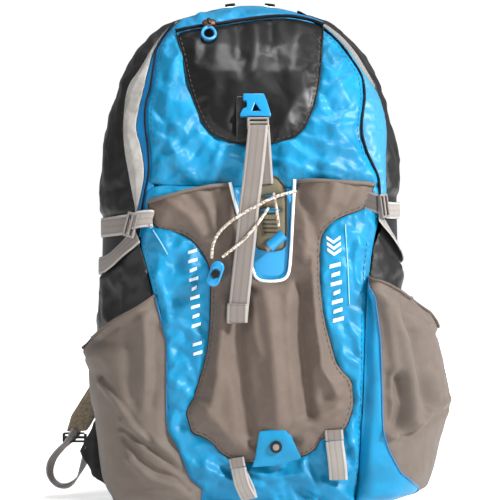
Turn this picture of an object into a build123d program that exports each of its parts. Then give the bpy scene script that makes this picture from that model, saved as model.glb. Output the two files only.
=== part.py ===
# Soft ski day pack, millimetres.  +Z up, front face toward -Y, shoulder straps at +Y,
# origin at the centre of the flat base.
from build123d import *
import math
import os

os.makedirs("parts", exist_ok=True)

# ---------------------------------------------------------------- driving dimensions
height = 538.0            # crest above the base
wall = 3.0                # padded fabric wall
gap = 0.4                 # clearance between neighbouring panels
webbing_width = 20.0
webbing_thickness = 1.6
cord_diameter = 3.0
crown_radius = 174.0      # crest arc in the front view
crown_centre_z = 365.0
zip_half_width = 104.0    # main zip line either side of the centre
gusset_edge = 129.0       # outer edge of the stripe panels
hinge_y, hinge_z = -100.0, 350.0      # fold line of the lid
pocket_depth = 12.0       # inside depth of the stretch pocket
pocket_skin = 2.5
strap_thickness = 12.0
belt_width = 25.0
lid_zip_radius = 250.0

# z, half width, front y, back y, front corner radius, back corner radius
SECTIONS = [
    (0.0, 130.0, -74.0, 74.0, 50.0, 22.0),
    (12.0, 140.0, -85.0, 84.0, 60.0, 25.0),
    (40.0, 147.0, -92.0, 88.0, 66.0, 26.0),
    (140.0, 155.0, -100.0, 88.0, 70.0, 26.0),
    (250.0, 155.0, -98.0, 88.0, 70.0, 26.0),
    (331.0, 154.0, -91.0, 88.0, 70.0, 26.0),
    (365.0, 152.0, -86.0, 88.0, 70.0, 26.0),
    (396.0, 148.0, -79.0, 88.0, 68.0, 26.0),
    (429.0, 140.0, -68.0, 88.0, 64.0, 26.0),
    (453.0, 132.0, -56.0, 88.0, 58.0, 26.0),
    (480.0, 120.0, -37.0, 88.0, 50.0, 25.0),
    (497.0, 107.0, -19.15, 87.0, 42.0, 24.0),
    (512.0, 93.0, -3.4, 85.0, 36.0, 22.0),
    (520.0, 79.0, 5.0, 83.0, 30.0, 20.0),
    (528.3, 60.0, 18.0, 79.0, 24.0, 16.0),
    (534.3, 40.0, 30.0, 74.0, 16.0, 13.0),
    (538.0, 18.0, 42.0, 66.0, 8.0, 7.0),
]


def section(z):
    rows = SECTIONS
    if z <= rows[0][0]:
        return rows[0][1:]
    for a, b in zip(rows, rows[1:]):
        if z <= b[0]:
            t = (z - a[0]) / (b[0] - a[0])
            return tuple(p + (q - p) * t for p, q in zip(a[1:], b[1:]))
    return rows[-1][1:]


def front_y(z, x=0.0):
    hw, yf, yb, rf, rb = section(z)
    d = abs(x) - (hw - rf)
    return yf if d <= 0 else yf + rf - math.sqrt(max(rf * rf - d * d, 0.0))


def levels(grow, z0, z1):
    inner = [r[0] for r in SECTIONS if z0 + 0.6 < r[0] < z1 - 0.6]
    out = []
    for z in [z0] + inner + [z1]:
        w = min(max((z - 400.0) / 100.0, 0.0), 1.0) if grow < 0 else 0.0
        hw, yf, yb, rf, rb = section(z + 2.4 * w)
        g = grow * (1 - 0.25 * w)
        out.append((z, hw + g, yf - g, yb + g, max(rf + g, 3.0), max(rb + g, 3.0)))
    return out


def body_faces(grow, z0, z1):
    faces = []
    for z, hw, yf, yb, rf, rb in levels(grow, z0, z1):
        with BuildSketch(Plane.XY.offset(z)) as ring:
            with BuildLine():
                Line((-hw + rf, yf), (hw - rf, yf))
                CenterArc((hw - rf, yf + rf), rf, -90, 90)
                Line((hw, yf + rf), (hw, yb - rb))
                CenterArc((hw - rb, yb - rb), rb, 0, 90)
                Line((hw - rb, yb), (-hw + rb, yb))
                CenterArc((-hw + rb, yb - rb), rb, 90, 90)
                Line((-hw, yb - rb), (-hw, yf + rf))
                CenterArc((-hw + rf, yf + rf), rf, 180, 90)
            make_face()
        faces.append(ring.sketch.faces()[0])
    return faces


def front_line(d):
    """Front profile (y, z) moved outward by d."""
    pts = [(r[2], r[0]) for r in SECTIONS]
    out = []
    for i, (y, z) in enumerate(pts):
        ns = []
        for a, b in ((i - 1, i), (i, i + 1)):
            if a < 0 or b >= len(pts):
                continue
            ty, tz = pts[b][0] - pts[a][0], pts[b][1] - pts[a][1]
            n = math.hypot(ty, tz)
            ns.append((-tz / n, ty / n))
        ny, nz = sum(v[0] for v in ns) / len(ns), sum(v[1] for v in ns) / len(ns)
        m = ny * ny + nz * nz
        out.append((y + d * ny / m, z + d * nz / m))
    return out


def band(d0, d1):
    return front_line(d0) + front_line(d1)[::-1]


def stand_y(z, d):
    """y of the front profile moved outward by d, read at height z."""
    pts = front_line(d)
    for a, b in zip(pts, pts[1:]):
        if a[1] <= z <= b[1]:
            return a[0] + (b[0] - a[0]) * (z - a[1]) / (b[1] - a[1])
    return pts[-1][0]


# cut line between the opening front half and the back half of the crown (y, z)
CUT = [(-50.0, -20.0), (-50.0, 354.0), (-42.0, 400.0), (-25.0, 450.0), (5.0, 490.0), (40.0, 522.0), (50.0, 545.0), (50.0, 600.0)]
# main zip line, right half (x, z)
ZIP = [(104.0, -20.0), (104.0, 440.0), (98.0, 475.0), (86.0, 500.0), (76.0, 520.0), (70.0, 545.0), (66.0, 600.0)]


def fore(shift):
    return [(y + shift, z) for y, z in CUT] + [(-260.0, 600.0), (-260.0, -20.0)]


def aft(shift):
    return [(y + shift, z) for y, z in CUT] + [(61.8, 600.0), (61.8, -20.0)]


def zip_side(sign, d0, d1, outer=None):
    inner = [(sign * (x + d0), z) for x, z in ZIP]
    if outer is None:
        return inner + [(sign * (x + d1), z) for x, z in ZIP][::-1]
    return inner + [(sign * outer, 600.0), (sign * outer, -20.0)]


def mirrored(points):
    return [(-x, z) for x, z in points]


# ---------------------------------------------------------------- construction bodies
with BuildPart() as envelope:
    loft(sections=body_faces(0.0, 0.0, height), ruled=True)

with BuildPart() as cavity:
    loft(sections=body_faces(-wall, wall, height - wall), ruled=True)

with BuildPart() as shell:
    add(envelope.part)
    add(cavity.part, mode=Mode.SUBTRACT)

with BuildPart() as grown:
    loft(sections=body_faces(gap, 5.0, 400.0), ruled=True)

with BuildPart() as skin_low:
    loft(sections=body_faces(2.4, 16.0, 537.0), ruled=True)
    loft(sections=body_faces(0.6, 15.0, 537.5), ruled=True, mode=Mode.SUBTRACT)

# ---------------------------------------------------------------- bag panels
with BuildPart() as base_panel:
    add(shell.part)
    with BuildSketch(Plane.XY.offset(-10)):
        Rectangle(500, 500)
    extrude(amount=18, mode=Mode.INTERSECT)
base_panel.part.label = "base_panel"
export_step(base_panel.part, "parts/base_panel.step")

with BuildPart() as back_panel:
    add(shell.part)
    with BuildSketch(Plane.XY.offset(8.4)):
        with Locations((0, 62.2 + 50)):
            Rectangle(500, 100)
    extrude(amount=560, mode=Mode.INTERSECT)
back_panel.part.label = "back_panel"
export_step(back_panel.part, "parts/back_panel.step")

with BuildPart() as side_panel_left:
    add(shell.part)
    with BuildSketch(Plane.XZ):
        Polygon((-gusset_edge - 0.2, 8.4), (-260, 8.4), (-260, 600), (-gusset_edge - 0.2, 600), align=None)
    extrude(amount=300, both=True, mode=Mode.INTERSECT)
    with BuildSketch(Plane.YZ):
        Polygon((-260, 0), (61.8, 0), (61.8, 600), (-260, 600), align=None)
    extrude(amount=300, both=True, mode=Mode.INTERSECT)
side_panel_left.part.label = "side_panel_left"
export_step(side_panel_left.part, "parts/side_panel_left.step")

with BuildPart() as side_panel_right:
    add(shell.part)
    with BuildSketch(Plane.XZ):
        Polygon((gusset_edge + 0.2, 8.4), (260, 8.4), (260, 600), (gusset_edge + 0.2, 600), align=None)
    extrude(amount=300, both=True, mode=Mode.INTERSECT)
    with BuildSketch(Plane.YZ):
        Polygon((-260, 0), (61.8, 0), (61.8, 600), (-260, 600), align=None)
    extrude(amount=300, both=True, mode=Mode.INTERSECT)
side_panel_right.part.label = "side_panel_right"
export_step(side_panel_right.part, "parts/side_panel_right.step")

with BuildPart() as top_panel:
    add(shell.part)
    with BuildSketch(Plane.YZ):
        Polygon(*aft(0.3), align=None)
    extrude(amount=gusset_edge - 0.2, both=True, mode=Mode.INTERSECT)
    with BuildSketch(Plane.XZ):
        Polygon((-200, 445), (200, 445), (200, 600), (-200, 600), align=None)
    extrude(amount=300, both=True, mode=Mode.INTERSECT)
top_panel.part.label = "top_panel"
export_step(top_panel.part, "parts/top_panel.step")

with BuildPart() as gusset_left:
    add(shell.part)
    with BuildSketch(Plane.XZ):
        Polygon(*zip_side(-1, 0.4, 0, gusset_edge - 0.2), align=None)
    extrude(amount=300, both=True, mode=Mode.INTERSECT)
    with BuildSketch(Plane.YZ):
        Polygon(*fore(-0.3), align=None)
    extrude(amount=300, both=True, mode=Mode.INTERSECT)
    with BuildSketch(Plane.XY.offset(8.4)):
        Rectangle(500, 500)
    extrude(amount=560, mode=Mode.INTERSECT)
gusset_left.part.label = "gusset_left"
export_step(gusset_left.part, "parts/gusset_left.step")

with BuildPart() as gusset_right:
    add(shell.part)
    with BuildSketch(Plane.XZ):
        Polygon(*zip_side(1, 0.4, 0, gusset_edge - 0.2), align=None)
    extrude(amount=300, both=True, mode=Mode.INTERSECT)
    with BuildSketch(Plane.YZ):
        Polygon(*fore(-0.3), align=None)
    extrude(amount=300, both=True, mode=Mode.INTERSECT)
    with BuildSketch(Plane.XY.offset(8.4)):
        Rectangle(500, 500)
    extrude(amount=560, mode=Mode.INTERSECT)
gusset_right.part.label = "gusset_right"
export_step(gusset_right.part, "parts/gusset_right.step")

with BuildPart() as front_panel:
    add(shell.part)
    with BuildSketch(Plane.XZ):
        Polygon((-103.6, 8.4), (103.6, 8.4), (103.6, hinge_z - 0.3), (-103.6, hinge_z - 0.3), align=None)
    extrude(amount=300, both=True, mode=Mode.INTERSECT)
    with BuildSketch(Plane.YZ):
        Polygon((-260, 0), (-50, 0), (-50, 600), (-260, 600), align=None)
    extrude(amount=300, both=True, mode=Mode.INTERSECT)
front_panel.part.label = "front_panel"
export_step(front_panel.part, "parts/front_panel.step")

with BuildPart() as lid_panel:
    add(shell.part)
    with BuildSketch(Plane.XZ):
        Polygon(*([(-x + 0.4, z) for x, z in ZIP] + [(x - 0.4, z) for x, z in ZIP][::-1]), align=None)
    extrude(amount=300, both=True, mode=Mode.INTERSECT)
    with BuildSketch(Plane.YZ):
        Polygon(*fore(-0.3), align=None)
    extrude(amount=300, both=True, mode=Mode.INTERSECT)
    with BuildSketch(Plane.XY.offset(hinge_z + 0.3)):
        Rectangle(500, 500)
    extrude(amount=300, mode=Mode.INTERSECT)
lid_panel.part.label = "lid_panel"
export_step(lid_panel.part, "parts/lid_panel.step")

# ---------------------------------------------------------------- inside the bag
with BuildPart() as frame_sheet:
    with BuildSketch(Plane.XZ.offset(-84.6)):
        with Locations((0, 262)):
            RectangleRounded(216, 430, 22)
    extrude(amount=2.4)
frame_sheet.part.label = "frame_sheet"
export_step(frame_sheet.part, "parts/frame_sheet.step")

with BuildPart() as hydration_sleeve:
    with BuildSketch(Plane.XY.offset(18)):
        with Locations((0, 71.2)):
            Rectangle(196, 19.6)
    extrude(amount=342)
    with BuildSketch(Plane.XY.offset(20)):
        with Locations((0, 71.2)):
            Rectangle(192, 16.4)
    extrude(amount=345, mode=Mode.SUBTRACT)
hydration_sleeve.part.label = "hydration_sleeve"
export_step(hydration_sleeve.part, "parts/hydration_sleeve.step")

# ---------------------------------------------------------------- back
with BuildPart() as back_pad_left:
    with BuildSketch(Plane.XZ.offset(-88.5)):
        with Locations((-54, 245)):
            RectangleRounded(76, 350, 24)
    extrude(amount=-9.5)
    chamfer(back_pad_left.faces().sort_by(Axis.Y)[-1].edges(), length=2.5)
back_pad_left.part.label = "back_pad_left"
export_step(back_pad_left.part, "parts/back_pad_left.step")

with BuildPart() as back_pad_right:
    with BuildSketch(Plane.XZ.offset(-88.5)):
        with Locations((54, 245)):
            RectangleRounded(76, 350, 24)
    extrude(amount=-9.5)
    chamfer(back_pad_right.faces().sort_by(Axis.Y)[-1].edges(), length=2.5)
back_pad_right.part.label = "back_pad_right"
export_step(back_pad_right.part, "parts/back_pad_right.step")

with BuildPart() as wing_left:
    with BuildSketch(Plane.XZ.offset(-88.6)):
        Polygon((-104, 104), (-150, 104), (-164, 100), (-189, 52), (-174, 24), (-150, 8), (-104, 8), align=None)
    extrude(amount=-4.6)
wing_left.part.label = "wing_left"
export_step(wing_left.part, "parts/wing_left.step")

with BuildPart() as wing_right:
    with BuildSketch(Plane.XZ.offset(-88.6)):
        Polygon((104, 104), (150, 104), (160, 98), (178, 58), (168, 26), (150, 8), (104, 8), align=None)
    extrude(amount=-4.6)
wing_right.part.label = "wing_right"
export_step(wing_right.part, "parts/wing_right.step")

# shoulder straps: front outline and side profile
STRAP_SIDE = [(92.0, 501.0), (93.5, 480.0), (106.0, 440.0), (121.0, 395.0), (125.0, 375.0), (125.0, 255.0),
              (122.0, 215.0), (114.0, 150.0), (102.0, 70.0), (102.0, 60.0)]
STRAP_LEFT = [(-14, 500), (-28, 440), (-50, 360), (-76, 280), (-108, 200), (-143, 130), (-164, 104), (-182, 72), (-205, 72),
              (-200, 90), (-178, 126), (-156, 170), (-134, 230), (-114, 300), (-96, 370), (-84, 440), (-76, 500)]
STRAP_RIGHT = [(14, 500), (24, 440), (34, 360), (40, 280), (46, 200), (56, 140), (62, 118), (86, 118),
               (94, 140), (98, 200), (98, 280), (94, 360), (86, 440), (76, 500)]


def strap_profile():
    return STRAP_SIDE + [(y + strap_thickness, z) for y, z in STRAP_SIDE][::-1]


with BuildPart() as shoulder_strap_left:
    with BuildSketch(Plane.YZ):
        Polygon(*strap_profile(), align=None)
    extrude(amount=230, both=True)
    with BuildSketch(Plane.XZ):
        Polygon(*STRAP_LEFT, align=None)
    extrude(amount=300, both=True, mode=Mode.INTERSECT)
shoulder_strap_left.part.label = "shoulder_strap_left"
export_step(shoulder_strap_left.part, "parts/shoulder_strap_left.step")

with BuildPart() as shoulder_strap_right:
    with BuildSketch(Plane.YZ):
        Polygon(*strap_profile(), align=None)
    extrude(amount=230, both=True)
    with BuildSketch(Plane.XZ):
        Polygon(*STRAP_RIGHT, align=None)
    extrude(amount=300, both=True, mode=Mode.INTERSECT)
shoulder_strap_right.part.label = "shoulder_strap_right"
export_step(shoulder_strap_right.part, "parts/shoulder_strap_right.step")

# three-bar adjusters under the strap tips
with BuildPart() as strap_lock_left:
    with BuildSketch(Plane.XZ.offset(-104.5)):
        with Locations(Location((-196, 65.5), 0)):
            RectangleRounded(27, 11, 2.5)
        with Locations((-196, 68.0)):
            Rectangle(21, 2.2, mode=Mode.SUBTRACT)
        with Locations((-196, 63.2)):
            Rectangle(21, 2.2, mode=Mode.SUBTRACT)
    extrude(amount=-6)
strap_lock_left.part.label = "strap_lock_left"
export_step(strap_lock_left.part, "parts/strap_lock_left.step")

with BuildPart() as strap_lock_right:
    with BuildSketch(Plane.XZ.offset(-111.0)):
        with Locations((74, 111.5)):
            RectangleRounded(27, 11, 2.5)
        with Locations((74, 114.0)):
            Rectangle(21, 2.2, mode=Mode.SUBTRACT)
        with Locations((74, 109.2)):
            Rectangle(21, 2.2, mode=Mode.SUBTRACT)
    extrude(amount=-6)
strap_lock_right.part.label = "strap_lock_right"
export_step(strap_lock_right.part, "parts/strap_lock_right.step")

# lower webbing, slack loop on the left, flat run on the right
with BuildPart() as lower_webbing_left:
    with BuildSketch(Plane.XZ.offset(-95.5)):
        with BuildLine():
            Spline((-200, 58.5), (-219, 47), (-226, 28), (-217, 11), (-202, 9), (-190, 20), (-182, 42))
        trace(line_width=webbing_thickness)
    extrude(amount=-webbing_width)
lower_webbing_left.part.label = "lower_webbing_left"
export_step(lower_webbing_left.part, "parts/lower_webbing_left.step")

with BuildPart() as lower_webbing_right:
    with BuildSketch(Plane.XZ.offset(-101.0)):
        Polygon((64, 105), (84, 105), (172, 62), (162, 44), align=None)
    extrude(amount=-webbing_thickness)
lower_webbing_right.part.label = "lower_webbing_right"
export_step(lower_webbing_right.part, "parts/lower_webbing_right.step")

# sternum strap, unclipped, one half on each shoulder strap
with BuildPart() as sternum_left:
    with BuildSketch(Plane.XZ.offset(-137.5)):
        Polygon((-106, 320), (-28, 320), (-28, 340), (-106, 340), align=None)
    extrude(amount=-1.6)
    with BuildSketch(Plane.XZ.offset(-134.5)):
        Polygon((-36, 316), (-20, 316), (-20, 319.5), (-8, 319.5), (-8, 326), (-20, 326), (-20, 334), (-8, 334),
                (-8, 340.5), (-20, 340.5), (-20, 344), (-36, 344), align=None)
    extrude(amount=-6)
sternum_left.part.label = "sternum_left"
export_step(sternum_left.part, "parts/sternum_left.step")

with BuildPart() as sternum_right:
    with BuildSketch(Plane.XZ.offset(-137.5)):
        Polygon((100, 320), (28, 320), (28, 340), (100, 340), align=None)
    extrude(amount=-1.6)
    with BuildSketch(Plane.XZ.offset(-133.5)):
        Polygon((8, 315), (32, 315), (32, 345), (8, 345), align=None)
    extrude(amount=-8)
    with BuildSketch(Plane.YZ.offset(7)):
        Polygon((135.5, 318), (139.5, 318), (139.5, 342), (135.5, 342), align=None)
    extrude(amount=19, mode=Mode.SUBTRACT)
sternum_right.part.label = "sternum_right"
export_step(sternum_right.part, "parts/sternum_right.step")

# waist belt, unclipped
with BuildPart() as belt_left:
    with BuildSketch(Plane.XZ.offset(-95.4)):
        Polygon((-140, 22), (-40, 22), (-40, 47), (-140, 47), align=None)
    extrude(amount=-1.8)
    with BuildSketch(Plane.XZ.offset(-93.2)):
        Polygon((-48, 18), (-30, 18), (-30, 22), (-14, 22), (-14, 30), (-30, 30), (-30, 39), (-14, 39),
                (-14, 47), (-30, 47), (-30, 51), (-48, 51), align=None)
    extrude(amount=-6)
belt_left.part.label = "belt_left"
export_step(belt_left.part, "parts/belt_left.step")

with BuildPart() as belt_right:
    with BuildSketch(Plane.XZ.offset(-95.4)):
        Polygon((140, 22), (40, 22), (40, 47), (140, 47), align=None)
    extrude(amount=-1.8)
    with BuildSketch(Plane.XZ.offset(-92.4)):
        Polygon((14, 17), (48, 17), (48, 52), (14, 52), align=None)
    extrude(amount=-8)
    with BuildSketch(Plane.YZ.offset(13)):
        Polygon((94.4, 20.5), (98.4, 20.5), (98.4, 48.5), (94.4, 48.5), align=None)
    extrude(amount=23, mode=Mode.SUBTRACT)
belt_right.part.label = "belt_right"
export_step(belt_right.part, "parts/belt_right.step")

with BuildPart() as haul_loop:
    with BuildSketch(Plane.XZ.offset(-90.5)):
        Polygon((-36, 504), (-36, 512), (-28, 526), (-12, 533), (12, 533), (28, 526), (36, 512), (36, 504),
                (22, 504), (22, 508), (16, 515), (8, 518), (-8, 518), (-16, 515), (-22, 508), (-22, 504), align=None)
    extrude(amount=-3)
haul_loop.part.label = "haul_loop"
export_step(haul_loop.part, "parts/haul_loop.step")

# ---------------------------------------------------------------- stretch pocket on the front
POCKET = [(-102, 324), (-75, 331), (-43, 338), (-20, 342), (-17, 329), (-12, 311), (-11, 305), (3, 252), (7, 246),
          (14, 243.5), (31, 244), (38, 249), (40, 260), (42, 295), (44, 345.5), (74, 344), (98, 342), (125, 342),
          (121, 330), (117, 320), (112, 315), (96, 310), (83, 303), (73, 292), (70, 279), (70, 240), (73, 216),
          (78, 192), (83, 173), (89, 157), (102, 145), (104, 124), (99, 105), (93, 94), (72, 88), (67, 78),
          (58, 71), (51, 69), (-3, 61), (-20, 67), (-29, 72), (-37, 82), (-47, 89), (-58, 92), (-61, 103),
          (-64, 115), (-57, 126), (-51, 144), (-43, 173), (-40, 200), (-39, 232), (-39.5, 254), (-44, 267),
          (-52, 279), (-62, 288), (-75, 293), (-94.5, 297), (-100, 311)]
# the same outline moved inward by the skin, and run up past the two hems
POCKET_IN = [(-99.5, 352), (-22.7, 352), (-22.3, 338), (-19.5, 328.5), (-14.5, 310.5), (-13.5, 304.4), (0.6, 250.9), (5.4, 244),
             (13.3, 240.9), (32, 241.5), (40.4, 247.7), (42.5, 259.9), (44.5, 294.9), (46.8, 352), (121.5, 352),
             (118.8, 331.2), (115, 321.9), (110.5, 317.3), (95.1, 312.4), (81.3, 305), (70.7, 293), (67.5, 279.3), (67.5, 239.8),
             (70.5, 215.6), (75.6, 191.4), (80.6, 172.1), (87, 155.4), (99.6, 143.4), (101.4, 124.2), (96.6, 106), (91.5, 96.1),
             (70.5, 90.2), (64.9, 79.6), (57, 73.4), (50.4, 71.4), (-2.9, 63.6), (-19, 69.4), (-27.4, 74), (-35.3, 84),
             (-46, 91.5), (-56, 93.9), (-58.6, 103.5), (-61.2, 114.4), (-54.8, 124.9), (-48.6, 143.4), (-40.5, 172.6),
             (-37.5, 199.9), (-36.5, 232), (-37, 254.5), (-41.7, 268.3), (-50.2, 280.7), (-61, 290.3), (-74.4, 295.4), (-92.5, 299.3),
             (-97.6, 311.6)]
with BuildPart() as front_pocket:
    with BuildSketch(Plane.YZ):
        Polygon(*band(-26.0, pocket_depth + pocket_skin), align=None)
    extrude(amount=200, both=True)
    with BuildSketch(Plane.XZ):
        Polygon(*POCKET, align=None)
    extrude(amount=300, both=True, mode=Mode.INTERSECT)
    with BuildPart(mode=Mode.PRIVATE) as pocket_room:
        with BuildSketch(Plane.YZ):
            Polygon(*band(-28.0, pocket_depth), align=None)
        extrude(amount=200, both=True)
        with BuildSketch(Plane.XZ):
            Polygon(*POCKET_IN, align=None)
        extrude(amount=300, both=True, mode=Mode.INTERSECT)
    add(pocket_room.part, mode=Mode.SUBTRACT)
    add(grown.part, mode=Mode.SUBTRACT)
front_pocket.part.label = "front_pocket"
export_step(front_pocket.part, "parts/front_pocket.step")

# white piping round the notch of the pocket
PIPE_OUT = [(-19.4, 341.0), (-16.6, 329.1), (-11.6, 311.1), (-10.6, 305.1), (3.4, 252.2), (7.2, 246.4), (14.1, 243.9), (30.9, 244.4),
            (37.7, 249.3), (39.6, 260.1), (41.6, 295), (43.6, 345.0)]
PIPE_IN = [(-16.4, 341.0), (-13.7, 329.9), (-8.7, 311.8), (-7.6, 305.7), (6.1, 253.6), (9.1, 249), (14.6, 246.9), (29.9, 247.3),
           (34.9, 250.9), (36.6, 260.4), (38.6, 295.1), (40.6, 345.0)]
with BuildPart() as pocket_piping:
    with BuildSketch(Plane.YZ):
        Polygon(*band(0.6, 16.0), align=None)
    extrude(amount=60, both=True)
    with BuildSketch(Plane.XZ):
        Polygon(*(PIPE_OUT + PIPE_IN[::-1]), align=None)
    extrude(amount=300, both=True, mode=Mode.INTERSECT)
pocket_piping.part.label = "pocket_piping"
export_step(pocket_piping.part, "parts/pocket_piping.step")

# lash patch with two slots
with BuildPart() as lash_patch:
    with BuildSketch(Plane.YZ):
        Polygon(*band(0.6, 4.0), align=None)
    extrude(amount=60, both=True)
    with BuildSketch(Plane.XZ):
        Polygon((8, 349), (26, 349), (33, 341), (36, 336), (36, 280), (32, 275), (9, 275), (6, 280), (6, 336), (8, 341), align=None)
        with Locations((22, 328.5)):
            SlotOverall(22, 3.4, mode=Mode.SUBTRACT)
        with Locations((20.5, 314.5)):
            SlotOverall(23, 5.0, mode=Mode.SUBTRACT)
    extrude(amount=300, both=True, mode=Mode.INTERSECT)
lash_patch.part.label = "lash_patch"
export_step(lash_patch.part, "parts/lash_patch.step")

# closing tab with its snap
with BuildPart() as snap_tab:
    with BuildSketch(Plane.YZ):
        Polygon(*band(15.0, 17.0), align=None)
    extrude(amount=70, both=True)
    with BuildSketch(Plane.XZ):
        Polygon((9, 96), (37, 100.5), (51, 70), (30, 63), (2, 61), (5, 71), align=None)
    extrude(amount=300, both=True, mode=Mode.INTERSECT)
    with BuildSketch(Plane.XZ.offset(-stand_y(83, 16.0))):
        with Locations((25.7, 82)):
            Circle(6)
    extrude(amount=3.5)
snap_tab.part.label = "snap_tab"
export_step(snap_tab.part, "parts/snap_tab.step")

# ---------------------------------------------------------------- side pockets
RIGHT_PLAN = [(116, -97), (135, -99), (160, -90), (188, -64), (206, -30), (213, 0), (211, 25), (200, 48), (182, 61), (150, 66), (120, 66), (116, 0)]
RIGHT_PLAN_IN = [(118.6, -94.6), (134.6, -96.4), (159, -87.7), (186, -62.3), (203.6, -29.1), (210.4, 0.2), (208.5, 24.4), (198.1, 46.2), (180.8, 58.7), (149.6, 63.4), (119, 63.4), (118.6, 0)]
RIGHT_RISE = [(110, 250), (118, 247), (137, 241), (151, 233), (172, 221), (187, 211), (194, 199), (195, 188), (201, 167), (207, 142), (212, 118), (213, 108), (208, 99), (201, 77), (194, 46), (185, 17), (110, 17)]
RIGHT_RISE_IN = [(108, 270), (196, 270), (192.4, 188), (198.5, 166.5), (204.5, 141.5), (209.5, 117.6), (210.3, 108.6), (205.6, 99.8), (198.5, 77.4), (191.5, 46.5), (183, 19.5), (108, 19.5)]
LEFT_PLAN = [(84, -103), (110, -103), (135, -97), (158, -76), (170, -42), (175, 0), (172, 35), (165, 54), (150, 66), (120, 66), (84, 0)]
LEFT_PLAN_IN = [(86.5, -100.6), (109.7, -100.5), (134, -94.8), (156, -74.8), (167.6, -41.3), (172.5, 0.1), (169.6, 34.2), (163.2, 52.1), (149.4, 63.5), (119, 63.5), (86.5, 0)]
LEFT_RISE = [(78, 233), (96, 229), (113, 217), (133, 206), (146, 197), (164, 181), (175, 171), (175.5, 164), (172, 155), (170, 150), (169, 136), (167, 118), (164, 106), (162, 88), (159, 66), (155, 36), (149, 15), (94, 15), (84, 60), (82, 180)]
LEFT_RISE_IN = [(84.5, 250), (173, 250), (173, 164), (169.6, 155.6), (167.6, 150.4), (166.5, 136), (164.6, 118.4), (161.6, 106.4), (159.5, 88.2), (156.5, 66.2), (152.6, 36.3), (147, 17.5), (96, 17.5), (86.6, 60), (84.5, 180)]

with BuildPart() as side_pocket_right:
    with BuildSketch(Plane.XY):
        Polygon(*RIGHT_PLAN, align=None)
    extrude(amount=300)
    with BuildSketch(Plane.XZ):
        Polygon(*RIGHT_RISE, align=None)
    extrude(amount=300, both=True, mode=Mode.INTERSECT)
    with BuildPart(mode=Mode.PRIVATE) as room_right:
        with BuildSketch(Plane.XY):
            Polygon(*RIGHT_PLAN_IN, align=None)
        extrude(amount=300)
        with BuildSketch(Plane.XZ):
            Polygon(*RIGHT_RISE_IN, align=None)
        extrude(amount=300, both=True, mode=Mode.INTERSECT)
    add(room_right.part, mode=Mode.SUBTRACT)
    add(grown.part, mode=Mode.SUBTRACT)
side_pocket_right.part.label = "side_pocket_right"
export_step(side_pocket_right.part, "parts/side_pocket_right.step")

with BuildPart() as side_pocket_left:
    with BuildSketch(Plane.XY):
        Polygon(*mirrored(LEFT_PLAN), align=None)
    extrude(amount=300)
    with BuildSketch(Plane.XZ):
        Polygon(*mirrored(LEFT_RISE), align=None)
    extrude(amount=300, both=True, mode=Mode.INTERSECT)
    with BuildPart(mode=Mode.PRIVATE) as room_left:
        with BuildSketch(Plane.XY):
            Polygon(*mirrored(LEFT_PLAN_IN), align=None)
        extrude(amount=300)
        with BuildSketch(Plane.XZ):
            Polygon(*mirrored(LEFT_RISE_IN), align=None)
        extrude(amount=300, both=True, mode=Mode.INTERSECT)
    add(room_left.part, mode=Mode.SUBTRACT)
    add(grown.part, mode=Mode.SUBTRACT)
side_pocket_left.part.label = "side_pocket_left"
export_step(side_pocket_left.part, "parts/side_pocket_left.step")

# ---------------------------------------------------------------- main zip
with BuildPart() as main_zip_left:
    add(skin_low.part)
    with BuildSketch(Plane.XZ):
        Polygon(*zip_side(-1, 0.8, 7.0), align=None)
    extrude(amount=300, both=True, mode=Mode.INTERSECT)
    with BuildSketch(Plane.YZ):
        Polygon((-260, 328), (-50, 328), (-50, 354), (-43, 400), (-26, 450), (2, 488), (-10, 496), (-260, 496), align=None)
    extrude(amount=300, both=True, mode=Mode.INTERSECT)
main_zip_left.part.label = "main_zip_left"
export_step(main_zip_left.part, "parts/main_zip_left.step")

with BuildPart() as main_zip_right:
    add(skin_low.part)
    with BuildSketch(Plane.XZ):
        Polygon(*zip_side(1, 0.8, 7.0), align=None)
    extrude(amount=300, both=True, mode=Mode.INTERSECT)
    with BuildSketch(Plane.YZ):
        Polygon((-260, 347), (-50, 347), (-50, 354), (-43, 400), (-26, 450), (2, 488), (-10, 496), (-260, 496), align=None)
    extrude(amount=300, both=True, mode=Mode.INTERSECT)
main_zip_right.part.label = "main_zip_right"
export_step(main_zip_right.part, "parts/main_zip_right.step")

with BuildPart() as main_zip_crown:
    with BuildSketch(Plane.XZ.offset(-52.0)):
        with BuildLine():
            CenterArc((0, crown_centre_z), crown_radius + 0.6, 60, 60)
        trace(line_width=1.2)
    extrude(amount=-6.5)
    with BuildSketch(Plane.XZ):
        Polygon((-84, 500), (84, 500), (84, 600), (-84, 600), align=None)
    extrude(amount=300, both=True, mode=Mode.INTERSECT)
    with BuildPart(mode=Mode.PRIVATE) as under_crown:
        loft(sections=body_faces(0.25, 480.0, 538.3), ruled=True)
    add(under_crown.part, mode=Mode.SUBTRACT)
main_zip_crown.part.label = "main_zip_crown"
export_step(main_zip_crown.part, "parts/main_zip_crown.step")


def crown_frame(angle):
    """Frame on the crest arc; angle in degrees from the top, positive to +X."""
    a = math.radians(angle)
    n = (math.sin(a), 0, math.cos(a))
    return Plane(origin=(crown_radius * n[0], 55.2, crown_centre_z + crown_radius * n[2]), x_dir=(0, 1, 0), z_dir=n)


with BuildPart() as main_slider_left:
    with BuildSketch(crown_frame(-7.0).offset(1.7)):
        RectangleRounded(8, 11, 2)
    extrude(amount=3)
main_slider_left.part.label = "main_slider_left"
export_step(main_slider_left.part, "parts/main_slider_left.step")

with BuildPart() as main_slider_right:
    with BuildSketch(crown_frame(7.0).offset(1.7)):
        RectangleRounded(8, 11, 2)
    extrude(amount=3)
main_slider_right.part.label = "main_slider_right"
export_step(main_slider_right.part, "parts/main_slider_right.step")

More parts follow.
